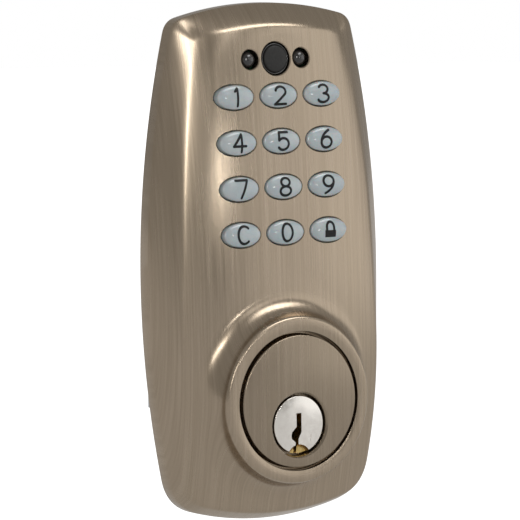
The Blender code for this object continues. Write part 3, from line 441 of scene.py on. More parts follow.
# %% Helpers that wire a material
def new_look(name, metallic=0.0, **fixed):
    """A material with its fixed shader values set on their own sockets."""
    look = bpy.data.materials.new(name)
    look.use_nodes = True
    shader = look.node_tree.nodes["Principled BSDF"]
    shader.inputs["Metallic"].default_value = metallic
    for socket, value in fixed.items():
        shader.inputs[socket.replace("_", " ")].default_value = value
    return look


def noise(look, scale, stretch=(1, 1, 1), detail=4.0, roughness=0.6, distortion=0.0):
    """Noise of about 1/scale metres, stretched along the axes with a small factor."""
    tree = look.node_tree
    where = tree.nodes.new("ShaderNodeTexCoord")
    mapping = tree.nodes.new("ShaderNodeMapping")
    mapping.inputs["Scale"].default_value = stretch
    pattern = tree.nodes.new("ShaderNodeTexNoise")
    pattern.inputs["Scale"].default_value = scale
    pattern.inputs["Detail"].default_value = detail
    pattern.inputs["Roughness"].default_value = roughness
    pattern.inputs["Distortion"].default_value = distortion
    tree.links.new(where.outputs["Object"], mapping.inputs["Vector"])
    tree.links.new(mapping.outputs["Vector"], pattern.inputs["Vector"])
    return pattern.outputs["Fac"]


def ramp(look, pattern, stops):
    """Colours along a pattern, as (place, linear colour) stops."""
    node = look.node_tree.nodes.new("ShaderNodeValToRGB")
    first, last = node.color_ramp.elements
    first.position, first.color = stops[0][0], (*stops[0][1], 1)
    last.position, last.color = stops[-1][0], (*stops[-1][1], 1)
    for place, colour in stops[1:-1]:
        node.color_ramp.elements.new(place).color = (*colour, 1)
    look.node_tree.links.new(pattern, node.inputs["Fac"])
    return node.outputs["Color"]


def blend(look, share, first, second, kind="MIX"):
    """Mix two colours by a share, which is a number or a pattern."""
    node = look.node_tree.nodes.new("ShaderNodeMix")
    node.data_type, node.blend_type = "RGBA", kind
    for value, socket in ((share, 0), (first, 6), (second, 7)):
        if isinstance(value, bpy.types.NodeSocket):
            look.node_tree.links.new(value, node.inputs[socket])
        else:
            node.inputs[socket].default_value = value
    return node.outputs[2]


def span(look, pattern, low, high, start=0.3, stop=0.7):
    """The pattern's middle range stretched to run from low to high."""
    node = look.node_tree.nodes.new("ShaderNodeMapRange")
    node.inputs["From Min"].default_value = start
    node.inputs["From Max"].default_value = stop
    node.inputs["To Min"].default_value = low
    node.inputs["To Max"].default_value = high
    look.node_tree.links.new(pattern, node.inputs["Value"])
    return node.outputs["Result"]


def wear(look, colour=None, roughness=None, relief=None, strength=0.2, depth=0.01 * MM):
    """Wire colour, roughness and relief into the shader."""
    tree = look.node_tree
    shader = tree.nodes["Principled BSDF"]
    if colour is not None:
        tree.links.new(colour, shader.inputs["Base Color"])
    if roughness is not None:
        tree.links.new(roughness, shader.inputs["Roughness"])
    if relief is not None:
        bump = tree.nodes.new("ShaderNodeBump")
        bump.inputs["Strength"].default_value = strength
        bump.inputs["Distance"].default_value = depth
        tree.links.new(relief, bump.inputs["Height"])
        tree.links.new(bump.outputs["Normal"], shader.inputs["Normal"])
    return look


# %% [markdown]
# ### Antique nickel
#
# The shell and the cylinder are plated, darkened, and brushed up and down the door. A
# noise that is very fine across the door and very long along it gives the brush lines,
# and because it hardly changes in depth either, the lines run on over the top edge and
# down the ring's side as a belt would leave them. A second, broader band of streaks and a
# faint cloud of tarnish keep large areas from looking printed.

# %% The brushed nickel
BRUSH = (1, 0.012, 0.012)


def brushed(name, shade):
    """Brushed nickel; shade darkens it as a whole."""
    look = new_look(name, metallic=1.0, Anisotropic=0.5)
    lines = noise(look, 2900, BRUSH, detail=4)
    streaks = noise(look, 1100, (1, 0.03, 0.03), detail=4)
    tarnish = noise(look, 42, (1, 0.6, 0.6), detail=3, roughness=0.5)

    def tone(*colour):
        return tuple(shade * part for part in colour)

    fine = ramp(look, lines, [(0.36, tone(0.38, 0.305, 0.225)), (0.64, tone(0.53, 0.435, 0.335))])
    broad = ramp(look, streaks, [(0.34, tone(0.43, 0.348, 0.26)), (0.66, tone(0.48, 0.392, 0.30))])
    colour = blend(look, 0.55, fine, broad)
    clouds = span(look, tarnish, 0.0, 0.3)
    colour = blend(look, clouds, colour, (*tone(0.40, 0.33, 0.235), 1))
    return wear(look, colour, span(look, streaks, 0.22, 0.29), lines, 0.3, 0.015 * MM)


nickel = brushed("antique_nickel", 0.86)
face_nickel = brushed("cylinder_nickel", 0.68)
print("brushed nickel:", len(nickel.node_tree.nodes), "nodes")

# %% [markdown]
# ### The other metals
#
# The plug is chrome, polished but worn in fine circles by years of keys. The brass shows
# where a cutter went through the chrome and on the pins. Clamp, posts and screws are zinc
# plated, with the blotchy blue and yellow cast that such a bath leaves.

# %% Chrome, brass and zinc plate
chrome = new_look("chrome", metallic=1.0)
haze = noise(chrome, 900, (1, 1, 1), detail=5)
wear(
    chrome,
    ramp(chrome, haze, [(0.3, (0.74, 0.70, 0.65)), (0.7, (0.84, 0.81, 0.76))]),
    span(chrome, haze, 0.12, 0.22),
    noise(chrome, 3500, (1, 0.05, 0.05), detail=2), 0.15, 0.01 * MM,
)

brass = new_look("brass", metallic=1.0)
tool_marks = noise(brass, 2600, (1, 0.2, 0.2), detail=3)
wear(
    brass,
    ramp(brass, tool_marks, [(0.3, (0.60, 0.42, 0.14)), (0.7, (0.82, 0.62, 0.28))]),
    span(brass, tool_marks, 0.2, 0.4),
    tool_marks, 0.3, 0.02 * MM,
)

zinc = new_look("zinc_plated_steel", metallic=1.0)
cast = noise(zinc, 140, detail=3)
grit = noise(zinc, 2400, detail=4)
zinc_colour = ramp(
    zinc, cast,
    [(0.32, (0.50, 0.52, 0.56)), (0.5, (0.60, 0.60, 0.60)), (0.68, (0.60, 0.56, 0.46))],
)
wear(zinc, zinc_colour, span(zinc, grit, 0.28, 0.45), grit, 0.25, 0.02 * MM)
print("chrome, brass and zinc plate are ready")

# %% [markdown]
# ### Rubber, silicone and plastics
#
# The keys are pale translucent rubber under a glossy skin: a little light enters and
# comes out again beside where it went in, so the shader uses some subsurface scattering
# under a clear coat. Printed legends are matt black ink. The rest are the usual moulded
# and coated surfaces of an electronics bay.

# %% Keys, legends, windows and plastics
key_rubber = new_look(
    "backlit_key", Subsurface_Weight=0.35, Subsurface_Scale=0.0015, Coat_Weight=0.8,
    Coat_Roughness=0.08, Specular_IOR_Level=0.5,
)
milk = noise(key_rubber, 260, detail=3)
key_grain = noise(key_rubber, 5200, detail=2)
wear(
    key_rubber,
    ramp(key_rubber, milk, [(0.3, (0.35, 0.405, 0.43)), (0.7, (0.42, 0.465, 0.475))]),
    span(key_rubber, key_grain, 0.22, 0.34), key_grain, 0.05, 0.01 * MM,
)

ink = new_look("legend_ink", Specular_IOR_Level=0.2)
ink_grain = noise(ink, 3000, detail=2)
wear(
    ink,
    ramp(ink, ink_grain, [(0.3, (0.008, 0.008, 0.009)), (0.7, (0.02, 0.02, 0.02))]),
    span(ink, ink_grain, 0.35, 0.55), ink_grain, 0.1, 0.01 * MM,
)

window = new_look("dark_window", Coat_Weight=0.6, Coat_Roughness=0.03)
smoke = noise(window, 700, detail=3)
wear(
    window,
    ramp(window, smoke, [(0.3, (0.010, 0.010, 0.011)), (0.7, (0.022, 0.020, 0.019))]),
    span(window, smoke, 0.12, 0.2),
)

window_matt = new_look("matt_window", Specular_IOR_Level=0.25)
frost = noise(window_matt, 2500, detail=3)
wear(
    window_matt,
    ramp(window_matt, frost, [(0.3, (0.016, 0.016, 0.015)), (0.7, (0.028, 0.027, 0.026))]),
    span(window_matt, frost, 0.35, 0.5), frost, 0.1, 0.01 * MM,
)


def moulded(name, dark, light, rough_low, rough_high, scale=1500, strength=0.2):
    """A moulded or coated surface: two close tones and a fine grain."""
    look = new_look(name)
    grain = noise(look, scale, detail=4)
    clouds = noise(look, scale / 12, detail=3)
    tone = blend(
        look, 0.5, ramp(look, grain, [(0.3, dark), (0.7, light)]),
        ramp(look, clouds, [(0.3, dark), (0.7, light)]),
    )
    return wear(look, tone, span(look, grain, rough_low, rough_high), grain, strength, 0.02 * MM)


rubber = moulded("black_rubber", (0.012, 0.012, 0.012), (0.035, 0.034, 0.033), 0.6, 0.85, 1800, 0.4)
silicone = moulded("silicone", (0.62, 0.64, 0.63), (0.78, 0.79, 0.77), 0.4, 0.6)
black_plastic = moulded("black_plastic", (0.010, 0.010, 0.011), (0.025, 0.025, 0.025), 0.35, 0.55)
white_plastic = moulded("white_plastic", (0.66, 0.64, 0.58), (0.80, 0.78, 0.72), 0.3, 0.5)

# %% [markdown]
# ### The circuit board
#
# The board is green lacquer over copper tracks. A Brick texture turned on the board's
# plane gives straight tracks with gaps between them, and the lacquer over copper is
# lighter and slightly raised.

# %% The lacquered board
board_green = new_look("circuit_board", Coat_Weight=0.5, Coat_Roughness=0.15)
tree = board_green.node_tree
where = tree.nodes.new("ShaderNodeTexCoord")
turn = tree.nodes.new("ShaderNodeMapping")
turn.inputs["Rotation"].default_value = (math.radians(90), 0, 0)
turn.inputs["Scale"].default_value = (1, 1, 1)
tracks = tree.nodes.new("ShaderNodeTexBrick")
tracks.inputs["Scale"].default_value = 160
tracks.inputs["Mortar Size"].default_value = 0.06
tracks.inputs["Color1"].default_value = (0.02, 0.13, 0.05, 1)
tracks.inputs["Color2"].default_value = (0.025, 0.16, 0.06, 1)
tracks.inputs["Mortar"].default_value = (0.07, 0.30, 0.12, 1)
tree.links.new(where.outputs["Object"], turn.inputs["Vector"])
tree.links.new(turn.outputs["Vector"], tracks.inputs["Vector"])
lacquer = noise(board_green, 900, detail=3)
wear(
    board_green,
    blend(board_green, span(board_green, lacquer, 0.0, 0.25), tracks.outputs["Color"], (0.01, 0.08, 0.03, 1)),
    span(board_green, lacquer, 0.25, 0.4), tracks.outputs["Fac"], 0.3, 0.03 * MM,
)
LOOKS = {
    look.name: look
    for look in (
        nickel, chrome, brass, zinc, key_rubber, rubber, silicone, black_plastic,
        white_plastic, window, board_green,
    )
}
print("finishes:", sorted(LOOKS))

# %% [markdown]
# ## The shell
#
# The real shell is cast or pressed: a side wall that leans in, an arched face, and a ring
# that grows out of the face through a hollow fillet. One could model a plate and a ring
# and join them, but the fillet between an arched face and an upright ring changes its
# shape all the way round. So the whole skin is one sheet of squares: its rows are closed
# lines from the bore outwards, over the ring, down the fillet, along the face, round the
# crease and down the wall, and then back inside. Each row is a function of the spoke.
#
# The fillet is what a ball of its radius leaves when it rolls round the ring and rests on
# the face, so it meets the face without a step even where the face slopes away.


# %% Rows of the ring and its fillet
def circle_row(radius, height):
    """A level circle about the bore, with its points under the outline's spokes."""

    def place(spoke):
        point = CREASE_LINE[spoke].normalized() * radius
        return Vector((point.x, point.y, height))

    return place


def ball_on_face(direction):
    """Where the fillet's ball rests in this direction: its centre's height and the slope."""
    centre_radius = RING_RADIUS + FILLET
    tilt = 0.0
    for _ in range(4):
        foot = centre_radius - FILLET * math.sin(tilt)
        near, far = direction * (foot - 0.5 * MM), direction * (foot + 0.5 * MM)
        tilt = math.atan((face_height(*near) - face_height(*far)) / MM)
    foot = centre_radius - FILLET * math.sin(tilt)
    rest = face_height(*(direction * foot))
    return rest + FILLET * math.cos(tilt), tilt


BALLS = [ball_on_face(point.normalized()) for point in CREASE_LINE]


def fillet_row(share):
    """A point of the fillet: share 0 at the ring's edge, 1 where it meets the face."""

    def place(spoke):
        level, tilt = BALLS[spoke]
        start = math.asin(max((level - RING_DEPTH + RING_EDGE) / FILLET, 0.0))
        angle = start + (math.pi / 2 - tilt - start) * share
        radius = RING_RADIUS + FILLET * (1 - math.cos(angle))
        point = CREASE_LINE[spoke].normalized() * radius
        return Vector((point.x, point.y, level - FILLET * math.sin(angle)))

    return place


def edge_row(share):
    """A point of the ring's rounded front edge."""

    def place(spoke):
        level, _ = BALLS[spoke]
        start = math.asin(max((level - RING_DEPTH + RING_EDGE) / FILLET, 0.0))
        end = fillet_row(0.0)(spoke)
        reach = end.xy.length - (RING_DEPTH - end.z) * math.tan(start)
        outward = CREASE_LINE[spoke].normalized()
        corner = Vector((*(outward * reach), RING_DEPTH))
        begin = Vector((*(outward * (RING_RADIUS - RING_EDGE)), RING_DEPTH))
        return begin * (1 - share) ** 2 + corner * 2 * share * (1 - share) + end * share * share

    return place


print("the fillet tilts by up to", round(math.degrees(max(tilt for _, tilt in BALLS)), 1), "degrees")


# %% Rows of the face, the wall and the inside
CREASE_ROUND = 0.8 * MM
WALL_BEND = 1.15
FACE_EDGE = plate_outline(1.0, CREASE_ROUND)




def wall_place(spoke, share):
    """A place on the side wall: share 0 at the lip, 1 at the crease."""
    top = CREASE_LINE[spoke]
    rise = face_height(top.x, top.y) - LIP_HEIGHT
    x, y = FOOT_LINE[spoke].lerp(top, share**WALL_BEND)
    return Vector((x, y, LIP_HEIGHT + share * rise))


def face_row(share):
    """A line on the face: share 0 at the fillet's foot, 1 where the crease's round begins."""

    def place(spoke):
        x, y = fillet_row(1.0)(spoke).xy.lerp(FACE_EDGE[spoke], share)
        return Vector((x, y, face_height(x, y)))

    return place


def wall_row(share):
    """A line on the wall: share 0 at the lip, 1 where the crease's round begins."""

    def place(spoke):
        crease = wall_place(spoke, 1.0)
        last = 1 - CREASE_ROUND / (crease.z - LIP_HEIGHT)
        return wall_place(spoke, share * last)

    return place


def crease_row(share):
    """A point of the small round between the face and the wall."""

    def place(spoke):
        begin, corner, end = face_row(1.0)(spoke), wall_place(spoke, 1.0), wall_row(1.0)(spoke)
        return begin * (1 - share) ** 2 + corner * 2 * share * (1 - share) + end * share * share

    return place


INNER_FOOT = plate_outline(0.0, WALL)
INNER_CREASE = plate_outline(1.0, 0.75 * WALL)


def inner_wall_row(share):
    """The inside of the wall, from the foot (share 0) to under the crease (share 1)."""

    def place(spoke):
        top = INNER_CREASE[spoke]
        x, y = INNER_FOOT[spoke].lerp(top, share**WALL_BEND)
        return Vector((x, y, share * (face_height(top.x, top.y) - WALL)))

    return place


def inner_face_row(share):
    """The inside of the face, from under the crease in to the ring's inner wall."""

    def place(spoke):
        near = CREASE_LINE[spoke].normalized() * (RING_RADIUS + FILLET - WALL)
        x, y = INNER_CREASE[spoke].lerp(near, share)
        return Vector((x, y, face_height(x, y) - WALL))

    return place


# %% The shell's skin
def shares(count, power=1.0):
    """Steps from just after 0 to 1, closer together at the end when power is under 1."""
    return [((i + 1) / count) ** power for i in range(count)]


RING_WALL_INSIDE = CYLINDER_FLANGE + GAP
CHAMFER = 0.15 * MM
rows = [
    circle_row(BORE_RADIUS, RING_DEPTH - RING_LEDGE),
    circle_row(BORE_RADIUS, RING_DEPTH - CHAMFER),
    circle_row(BORE_RADIUS + 0.3 * CHAMFER, RING_DEPTH - 0.3 * CHAMFER),
    circle_row(BORE_RADIUS + CHAMFER, RING_DEPTH),
    circle_row((BORE_RADIUS + RING_RADIUS) / 2, RING_DEPTH),
    circle_row(RING_RADIUS - RING_EDGE, RING_DEPTH),
]
rows += [edge_row(share) for share in shares(5)]
rows += [fillet_row(share) for share in shares(12)]
rows += [face_row(share) for share in shares(30, 0.75)]
rows += [crease_row(share) for share in shares(5)]
rows += [wall_row(1 - share) for share in shares(12)]
rows += [
    lambda spoke: Vector((*FOOT_LINE[spoke], 0.25 * MM)),
    lambda spoke: Vector((*(FOOT_LINE[spoke] * 0.997), 0)),
]
rows += [inner_wall_row(share) for share in (0.0, 0.3, 0.6, 0.85, 1.0)]
rows += [inner_face_row(share) for share in shares(9)]
rows += [
    circle_row(RING_WALL_INSIDE, BOSS_SEAT + WALL),
    circle_row(RING_WALL_INSIDE, RING_DEPTH - RING_LEDGE),
    circle_row(BORE_RADIUS, RING_DEPTH - RING_LEDGE),
]
shell = sheet(
    "shell", SPOKES, len(rows) - 1, lambda spoke, row: rows[row](spoke % SPOKES)
)
print("shell skin:", len(shell.data.polygons), "faces")

# %% [markdown]
# ## Holes for keys and windows
#
# Twelve oval holes and three round ones go through the face. Each cutter is a small sheet
# rolled into a plug. Its neck widens at the height of the face, so the cut leaves a bright
# broken edge of the same width all round, even where the face curves away under it.


# %% The hole cutters
def hole_cutter(x, v, half_wide, half_high, depth=4 * MM, steps=64):
    """A flared plug in the keypad frame: straight below the face, wider above it."""
    bands = [(0, -1), (1, -1), (1, 0), (1, 1), (1, 2), (0, 2)]

    def place(step, band):
        angle = math.tau * (step % steps) / steps
        reach, level = bands[band]
        grow = (0, 0, RIM_CHAMFER, RIM_CHAMFER + MM)[level + 1] if band < 5 else 0
        px = x + reach * (half_wide + grow) * math.cos(angle)
        pv = v + reach * (half_high + grow) * math.sin(angle)
        skin = face_in_keypad(px, pv)
        drop = {-1: -depth, 0: skin - RIM_CHAMFER, 1: skin, 2: skin + MM}[level]
        return Vector((px, pv, drop if reach else (-depth if level < 0 else MM)))

    return sheet("hole_cutter", steps, len(bands) - 1, place)


holes = [
    hole_cutter(x, v, KEY_HALF_WIDTH + KEY_GAP, KEY_HALF_HEIGHT + KEY_GAP)
    for _, x, v in key_places()
]
for side, radius in ((-1, LED_RADIUS), (0, SENSOR_RADIUS), (1, LED_RADIUS)):
    holes.append(hole_cutter(side * LENS_PITCH, LENS_RISE, radius + GAP, radius + GAP))
all_holes = put(join(holes, "all_holes"), FRONT.inverted() @ KEYPAD)
cut(shell, all_holes)
put(shell, FRONT)
dress(shell, nickel, "lock_body", "escutcheon", slot="antique_nickel", smooth=28)
print("shell with its holes:", len(shell.data.polygons), "faces")

# %% [markdown]
# ## The keys
#
# Each key is an oval rubber button with a soft dome and a flange behind the shell that
# keeps it in. A quarter ellipse makes a dome that leaves its edge upright, like a moulded
# button, so the profile is drawn from one formula and spun, then squashed to an oval. It
# is modelled once and copied to twelve places, each copy with its own mesh.


# %% One key, copied to twelve places
def dome(x, v):
    """Height of a key's top over its own origin, at a place on it."""
    reach = min((x / KEY_HALF_WIDTH) ** 2 + (v / KEY_HALF_HEIGHT) ** 2, 1.0)
    return KEY_RIM + (KEY_PROUD - KEY_RIM) * (1 - reach) ** 0.6


key_five_low, key_five_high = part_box("key_5")
KEY_SPARE = 0.35 * MM
KEY_BACK = -(key_five_high.y - key_five_low.y) + KEY_PROUD + KEY_SPARE  # clear when pressed
FLANGE = key_five_high.x - KEY_HALF_WIDTH
FLANGE_THICKNESS = 0.6 * MM
steps_of_dome = 14
profile = []
for step in range(steps_of_dome + 1):
    radius = KEY_HALF_WIDTH * math.sin(math.pi / 2 * step / steps_of_dome)
    profile.append((radius, dome(radius, 0)))
profile += [
    (KEY_HALF_WIDTH, KEY_BACK + FLANGE_THICKNESS + 0.15 * MM),
    (KEY_HALF_WIDTH + 0.15 * MM, KEY_BACK + FLANGE_THICKNESS),
    (KEY_HALF_WIDTH + FLANGE - 0.1 * MM, KEY_BACK + FLANGE_THICKNESS),
    (KEY_HALF_WIDTH + FLANGE, KEY_BACK + FLANGE_THICKNESS - 0.1 * MM),
    (KEY_HALF_WIDTH + FLANGE, KEY_BACK),
    (0, KEY_BACK),
]
key = turned("key", profile, steps=72, squash=KEY_HALF_HEIGHT / KEY_HALF_WIDTH)


def copied(piece, name):
    """A copy with its own mesh."""
    twin = piece.copy()
    twin.data = piece.data.copy()
    twin.name = twin.data.name = name
    bpy.context.scene.collection.objects.link(twin)
    return twin


def key_seat(x, v):
    """The place of a key: its row's height on the face's middle line."""
    return KEYPAD @ Matrix.Translation((x, v, face_in_keypad(0, v)))


for name, x, v in key_places():
    cap = put(copied(key, f"key_cap_{name}"), key_seat(x, v))
    dress(cap, key_rubber, f"key_{name}_body", f"key_{name}", slot="backlit_key", smooth=40)
bpy.data.objects.remove(key)
print("twelve keys, back of the key at", round(KEY_BACK / MM, 2), "mm")

# %% [markdown]
# ## The legends
#
# The digits are printed in a thin, even, round-ended line, so each one is a few strokes
# rather than a font's outline: straight lines and parts of ellipses. A stroke is a narrow
# sheet laid along its path, and every point of it is lifted onto the dome, so the print
# follows the key's curve. A Solidify modifier gives the ink its thickness.

# %% Strokes of the digits, in letter heights
LETTER = 4.4 * MM
INK_HALF_WIDTH = 0.33 * MM
INK_THICKNESS = 0.03 * MM


def straight(start, stop):
    """A straight stroke."""
    return along(lambda t: Vector(start).lerp(Vector(stop), t), 0, 1, 24) + [Vector(stop)]


def curved(centre, wide, high, start, stop):
    """Part of an ellipse, between two angles in degrees."""

    def point(degrees):
        angle = math.radians(degrees)
        return Vector((centre[0] + wide * math.cos(angle), centre[1] + high * math.sin(angle)))

    return along(point, start, stop, 36) + [point(stop)]


def swept(start, corner, stop):
    """A quadratic curve from start to stop."""
    start, corner, stop = Vector(start), Vector(corner), Vector(stop)
    return bend(start, corner, stop, 24) + [stop]


six = [curved((0, -0.19), 0.34, 0.31, 0, 360), swept((0.2, 0.5), (-0.34, 0.24), (-0.34, -0.19))]
LETTERS = {
    "1": [straight((-0.12, 0.33), (0.05, 0.5)), straight((0.05, 0.5), (0.05, -0.5))],
    "2": [
        curved((0, 0.21), 0.33, 0.29, 165, -28),
        straight((0.29, 0.074), (-0.36, -0.5)),
        straight((-0.36, -0.5), (0.38, -0.5)),
    ],
    "3": [
        curved((-0.03, 0.25), 0.3, 0.25, 150, -90),
        curved((-0.03, -0.25), 0.36, 0.25, 90, -155),
    ],
    "4": [
        straight((0.13, 0.5), (-0.4, -0.18)),
        straight((-0.4, -0.18), (0.42, -0.18)),
        straight((0.13, 0.5), (0.13, -0.5)),
    ],
    "5": [
        straight((0.31, 0.5), (-0.25, 0.5)),
        straight((-0.25, 0.5), (-0.29, 0.06)),
        curved((-0.01, -0.17), 0.36, 0.33, 140, -145),
    ],
    "6": six,
    "7": [straight((-0.38, 0.5), (0.38, 0.5)), straight((0.38, 0.5), (-0.03, -0.5))],
    "8": [curved((0, 0.26), 0.28, 0.24, 0, 360), curved((0, -0.24), 0.35, 0.26, 0, 360)],
    "9": [[-point for point in stroke] for stroke in six],
    "clear": [curved((0.04, 0), 0.41, 0.5, 48, 312)],
    "0": [curved((0, 0), 0.34, 0.5, 0, 360)],
    "lock": [curved((0, 0.13), 0.24, 0.32, 0, 180)],
}
print("letters:", len(LETTERS))


# %% Lay the strokes on the domes
def ink_stroke(path, half_width=INK_HALF_WIDTH, round_ends=True, across=6):
    """A strip along the path, rounded off at its ends and lifted onto the dome."""
    closed = (path[0] - path[-1]).length < 1e-6
    points = [Vector(point) * LETTER for point in path]
    if round_ends and not closed:
        ends = []
        for tip, second in ((points[0], points[1]), (points[-1], points[-2])):
            outward = (tip - second).normalized()
            ends.append([tip + outward * half_width * math.sin(math.radians(a)) for a in (30, 60, 90)])
        points = ends[0][::-1] + points + ends[1]
    last = len(points) - 1
    widths = [half_width] * len(points)
    if round_ends and not closed:
        for step, degrees in enumerate((90, 60, 30)):
            widths[step] = widths[last - step] = half_width * max(math.cos(math.radians(degrees)), 0.02)

    def place(column, row):
        before = points[column - 1] if column else (points[-2] if closed else points[0])
        after = points[column + 1] if column < last else (points[1] if closed else points[last])
        along_path = (after - before).normalized()
        side = Vector((-along_path.y, along_path.x)) * widths[column] * (2 * row / across - 1)
        spot = points[column] + side
        return Vector((spot.x, spot.y, dome(spot.x, spot.y) + INK_THICKNESS * 0.7))

    return sheet("stroke", last, across, place)


for name, x, v in key_places():
    strokes = [ink_stroke(path) for path in LETTERS[name]]
    if name == "lock":
        strokes += [
            ink_stroke(straight((foot, 0.15), (foot, -0.1)), round_ends=False)
            for foot in (-0.24, 0.24)
        ]
        strokes.append(
            ink_stroke(straight((-0.36, -0.23), (0.36, -0.23)), 0.2 * LETTER, False, across=24)
        )
    legend = join(strokes, f"legend_{name}")
    apply_modifier(legend, "SOLIDIFY", thickness=INK_THICKNESS, offset=-1)
    put(legend, key_seat(x, v))
    dress(legend, ink, f"key_{name}_body", slot="backlit_key", smooth=50)
print("legends laid on the keys")

# %% [markdown]
# ## The sensor window and the status lights
#
# The window is a thick black collar round a matt dark disc. The lights are small clear
# domes sunk well into their holes, which read as black with one bright glint. All three
# are spun from a profile, and the window's edges are rounded by a Bevel modifier.

# %% The window and the lights
window_level = face_in_keypad(0, LENS_RISE)
lens_back = KEY_BACK
collar = SENSOR_RADIUS * 0.88
lens = turned(
    "sensor_collar",
    [
        (0, -0.9 * MM),
        (collar, -0.9 * MM),
        (collar + 0.1 * MM, -0.55 * MM),
        (SENSOR_RADIUS - 0.1 * MM, -0.5 * MM),
        (SENSOR_RADIUS, -0.7 * MM),
        (SENSOR_RADIUS, lens_back + FLANGE_THICKNESS),
        (SENSOR_RADIUS + 0.7 * MM, lens_back + FLANGE_THICKNESS),
        (SENSOR_RADIUS + 0.7 * MM, lens_back),
        (0, lens_back),
    ],
)
soften(lens, 0.1 * MM)
put(lens, KEYPAD @ Matrix.Translation((0, LENS_RISE, window_level)))
dress(lens, window, "lock_body", "sensor_lens", slot="dark_window")

pane = turned(
    "sensor_pane",
    [(0, 0.05 * MM), (0.5 * collar, 0.02 * MM), (0.86 * collar, -0.08 * MM), (0.95 * collar, -0.2 * MM),
     (0.99 * collar, -0.4 * MM), (0.99 * collar, -0.9 * MM), (0, -0.9 * MM)],
)
soften(pane, 0.06 * MM, angle=50)
put(pane, KEYPAD @ Matrix.Translation((0, LENS_RISE, window_level)))
dress(pane, window_matt, "lock_body", slot="dark_window", smooth=50)

led_low, led_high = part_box("status_led_left")
LED_LENGTH = (led_high.y - led_low.y) * math.cos(LEAN)
led_profile = [(0, -0.1 * MM)]
for step in range(1, 11):
    angle = math.pi / 2 * step / 10
    led_profile.append((LED_RADIUS * math.sin(angle), -0.1 * MM - 2.0 * MM * (1 - math.cos(angle))))
led_back = -LED_LENGTH + 0.1 * MM
led_profile += [
    (LED_RADIUS, led_back + 0.8 * MM),
    (LED_RADIUS + 0.4 * MM, led_back + 0.8 * MM),
    (LED_RADIUS + 0.4 * MM, led_back),
    (0, led_back),
]
led = turned("status_light", led_profile, steps=64)
for side, node in ((-1, "status_led_left"), (1, "status_led_right")):
    light = put(
        copied(led, f"status_light_{'left' if side < 0 else 'right'}"),
        KEYPAD @ Matrix.Translation((side * LENS_PITCH, LENS_RISE, window_level)),
    )
    dress(light, window, "lock_body", node, slot="dark_window")
bpy.data.objects.remove(led)
print("window and lights are in")

# %% [markdown]
# ## The cylinder
#
# The cylinder is a turned body whose face fills the ring. It is spun, its edges are
# rounded, and then the bore for the plug is cut off-centre with a countersunk mouth. The
# slot and the five chambers for pins and springs are cut too, because the pins that sit
# in them stay visible CAD parts.

# %% The cylinder body
COUNTERSINK = 0.5 * MM
BORE_HEAD = PLUG_HEAD_RADIUS + 0.6 * MM
PLUG_RADIUS = 6.35 * MM
HEAD_BACK = PLUG_FACE - 3.0 * MM
REACH = 1.0 * MM
PLUG_SPOT = Matrix.Translation((0, -PLUG_DROP, 0))
shoulder = RING_DEPTH - RING_LEDGE - GAP
body = turned(
    "cylinder",
    [
        (0, CYLINDER_FACE),
        (CYLINDER_RADIUS, CYLINDER_FACE),
        (CYLINDER_RADIUS, shoulder),
        (CYLINDER_FLANGE, shoulder),
        (CYLINDER_FLANGE, BOSS_SEAT),
        (CYLINDER_BODY, BOSS_SEAT),
        (CYLINDER_BODY, CYLINDER_REAR),
        (0, CYLINDER_REAR),
    ],
    steps=160,
)
soften(body, 0.38 * MM, segments=4)
mouth = turned(
    "plug_bore",
    [
        (0, CYLINDER_FACE + REACH),
        (BORE_HEAD + COUNTERSINK + REACH, CYLINDER_FACE + REACH),
        (BORE_HEAD + COUNTERSINK * 0.3, CYLINDER_FACE - COUNTERSINK * 0.7),
        (BORE_HEAD, CYLINDER_FACE - COUNTERSINK * 1.3),
        (BORE_HEAD, HEAD_BACK - GAP),
        (PLUG_RADIUS + GAP, HEAD_BACK - GAP),
        (PLUG_RADIUS + GAP, CYLINDER_REAR - REACH),
        (0, CYLINDER_REAR - REACH),
    ],
)
cut(body, put(mouth, PLUG_SPOT))
print("cylinder with its bore:", len(body.data.polygons), "faces")

# %% Pin chambers and the cover's slot
PIN_RADIUS = 1.2 * MM
pin_spots = []
for number in range(1, 6):
    low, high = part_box(f"key_pin_{number}")
    pin_spots.append(-(low.y + high.y) / 2)
cover_low, cover_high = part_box("spring_cover")


def upright_pin(depth, low, high):
    """A round cutter standing up the door at a depth, over the keyway."""
    pin = turned("chamber", [(0, low), (PIN_RADIUS + GAP, low), (PIN_RADIUS + GAP, high), (0, high)], 24)
    return put(pin, Matrix.Translation((0, 0, depth)) @ Matrix.Rotation(math.radians(-90), 4, "X"))


slot_half = cover_high.x + GAP
slot = prism(
    "cover_slot",
    [(-slot_half, cover_low.z - GAP), (slot_half, cover_low.z - GAP),
     (slot_half, CYLINDER_FLANGE + REACH), (-slot_half, CYLINDER_FLANGE + REACH)],
    -cover_high.y - GAP, -cover_low.y + GAP,
)
cut(body, slot)
for depth in pin_spots:
    cut(body, upright_pin(depth, -PLUG_DROP, cover_low.z))
put(body, FRONT)
dress(body, face_nickel, "lock_body", "cylinder_body", slot="antique_nickel")
print("pin depths, mm:", [round(depth / MM, 1) for depth in pin_spots])

# %% [markdown]
# ## The plug
#
# The plug turns with the key. Its chrome face has a softly rounded edge, a warded keyway,
# a scallop at its foot where the key's shoulder goes, and a small milled facet beside the
# keyway's mouth. Wherever a cutter went through the chrome, brass shows, so the faces of
# those cuts are given the brass by their place.

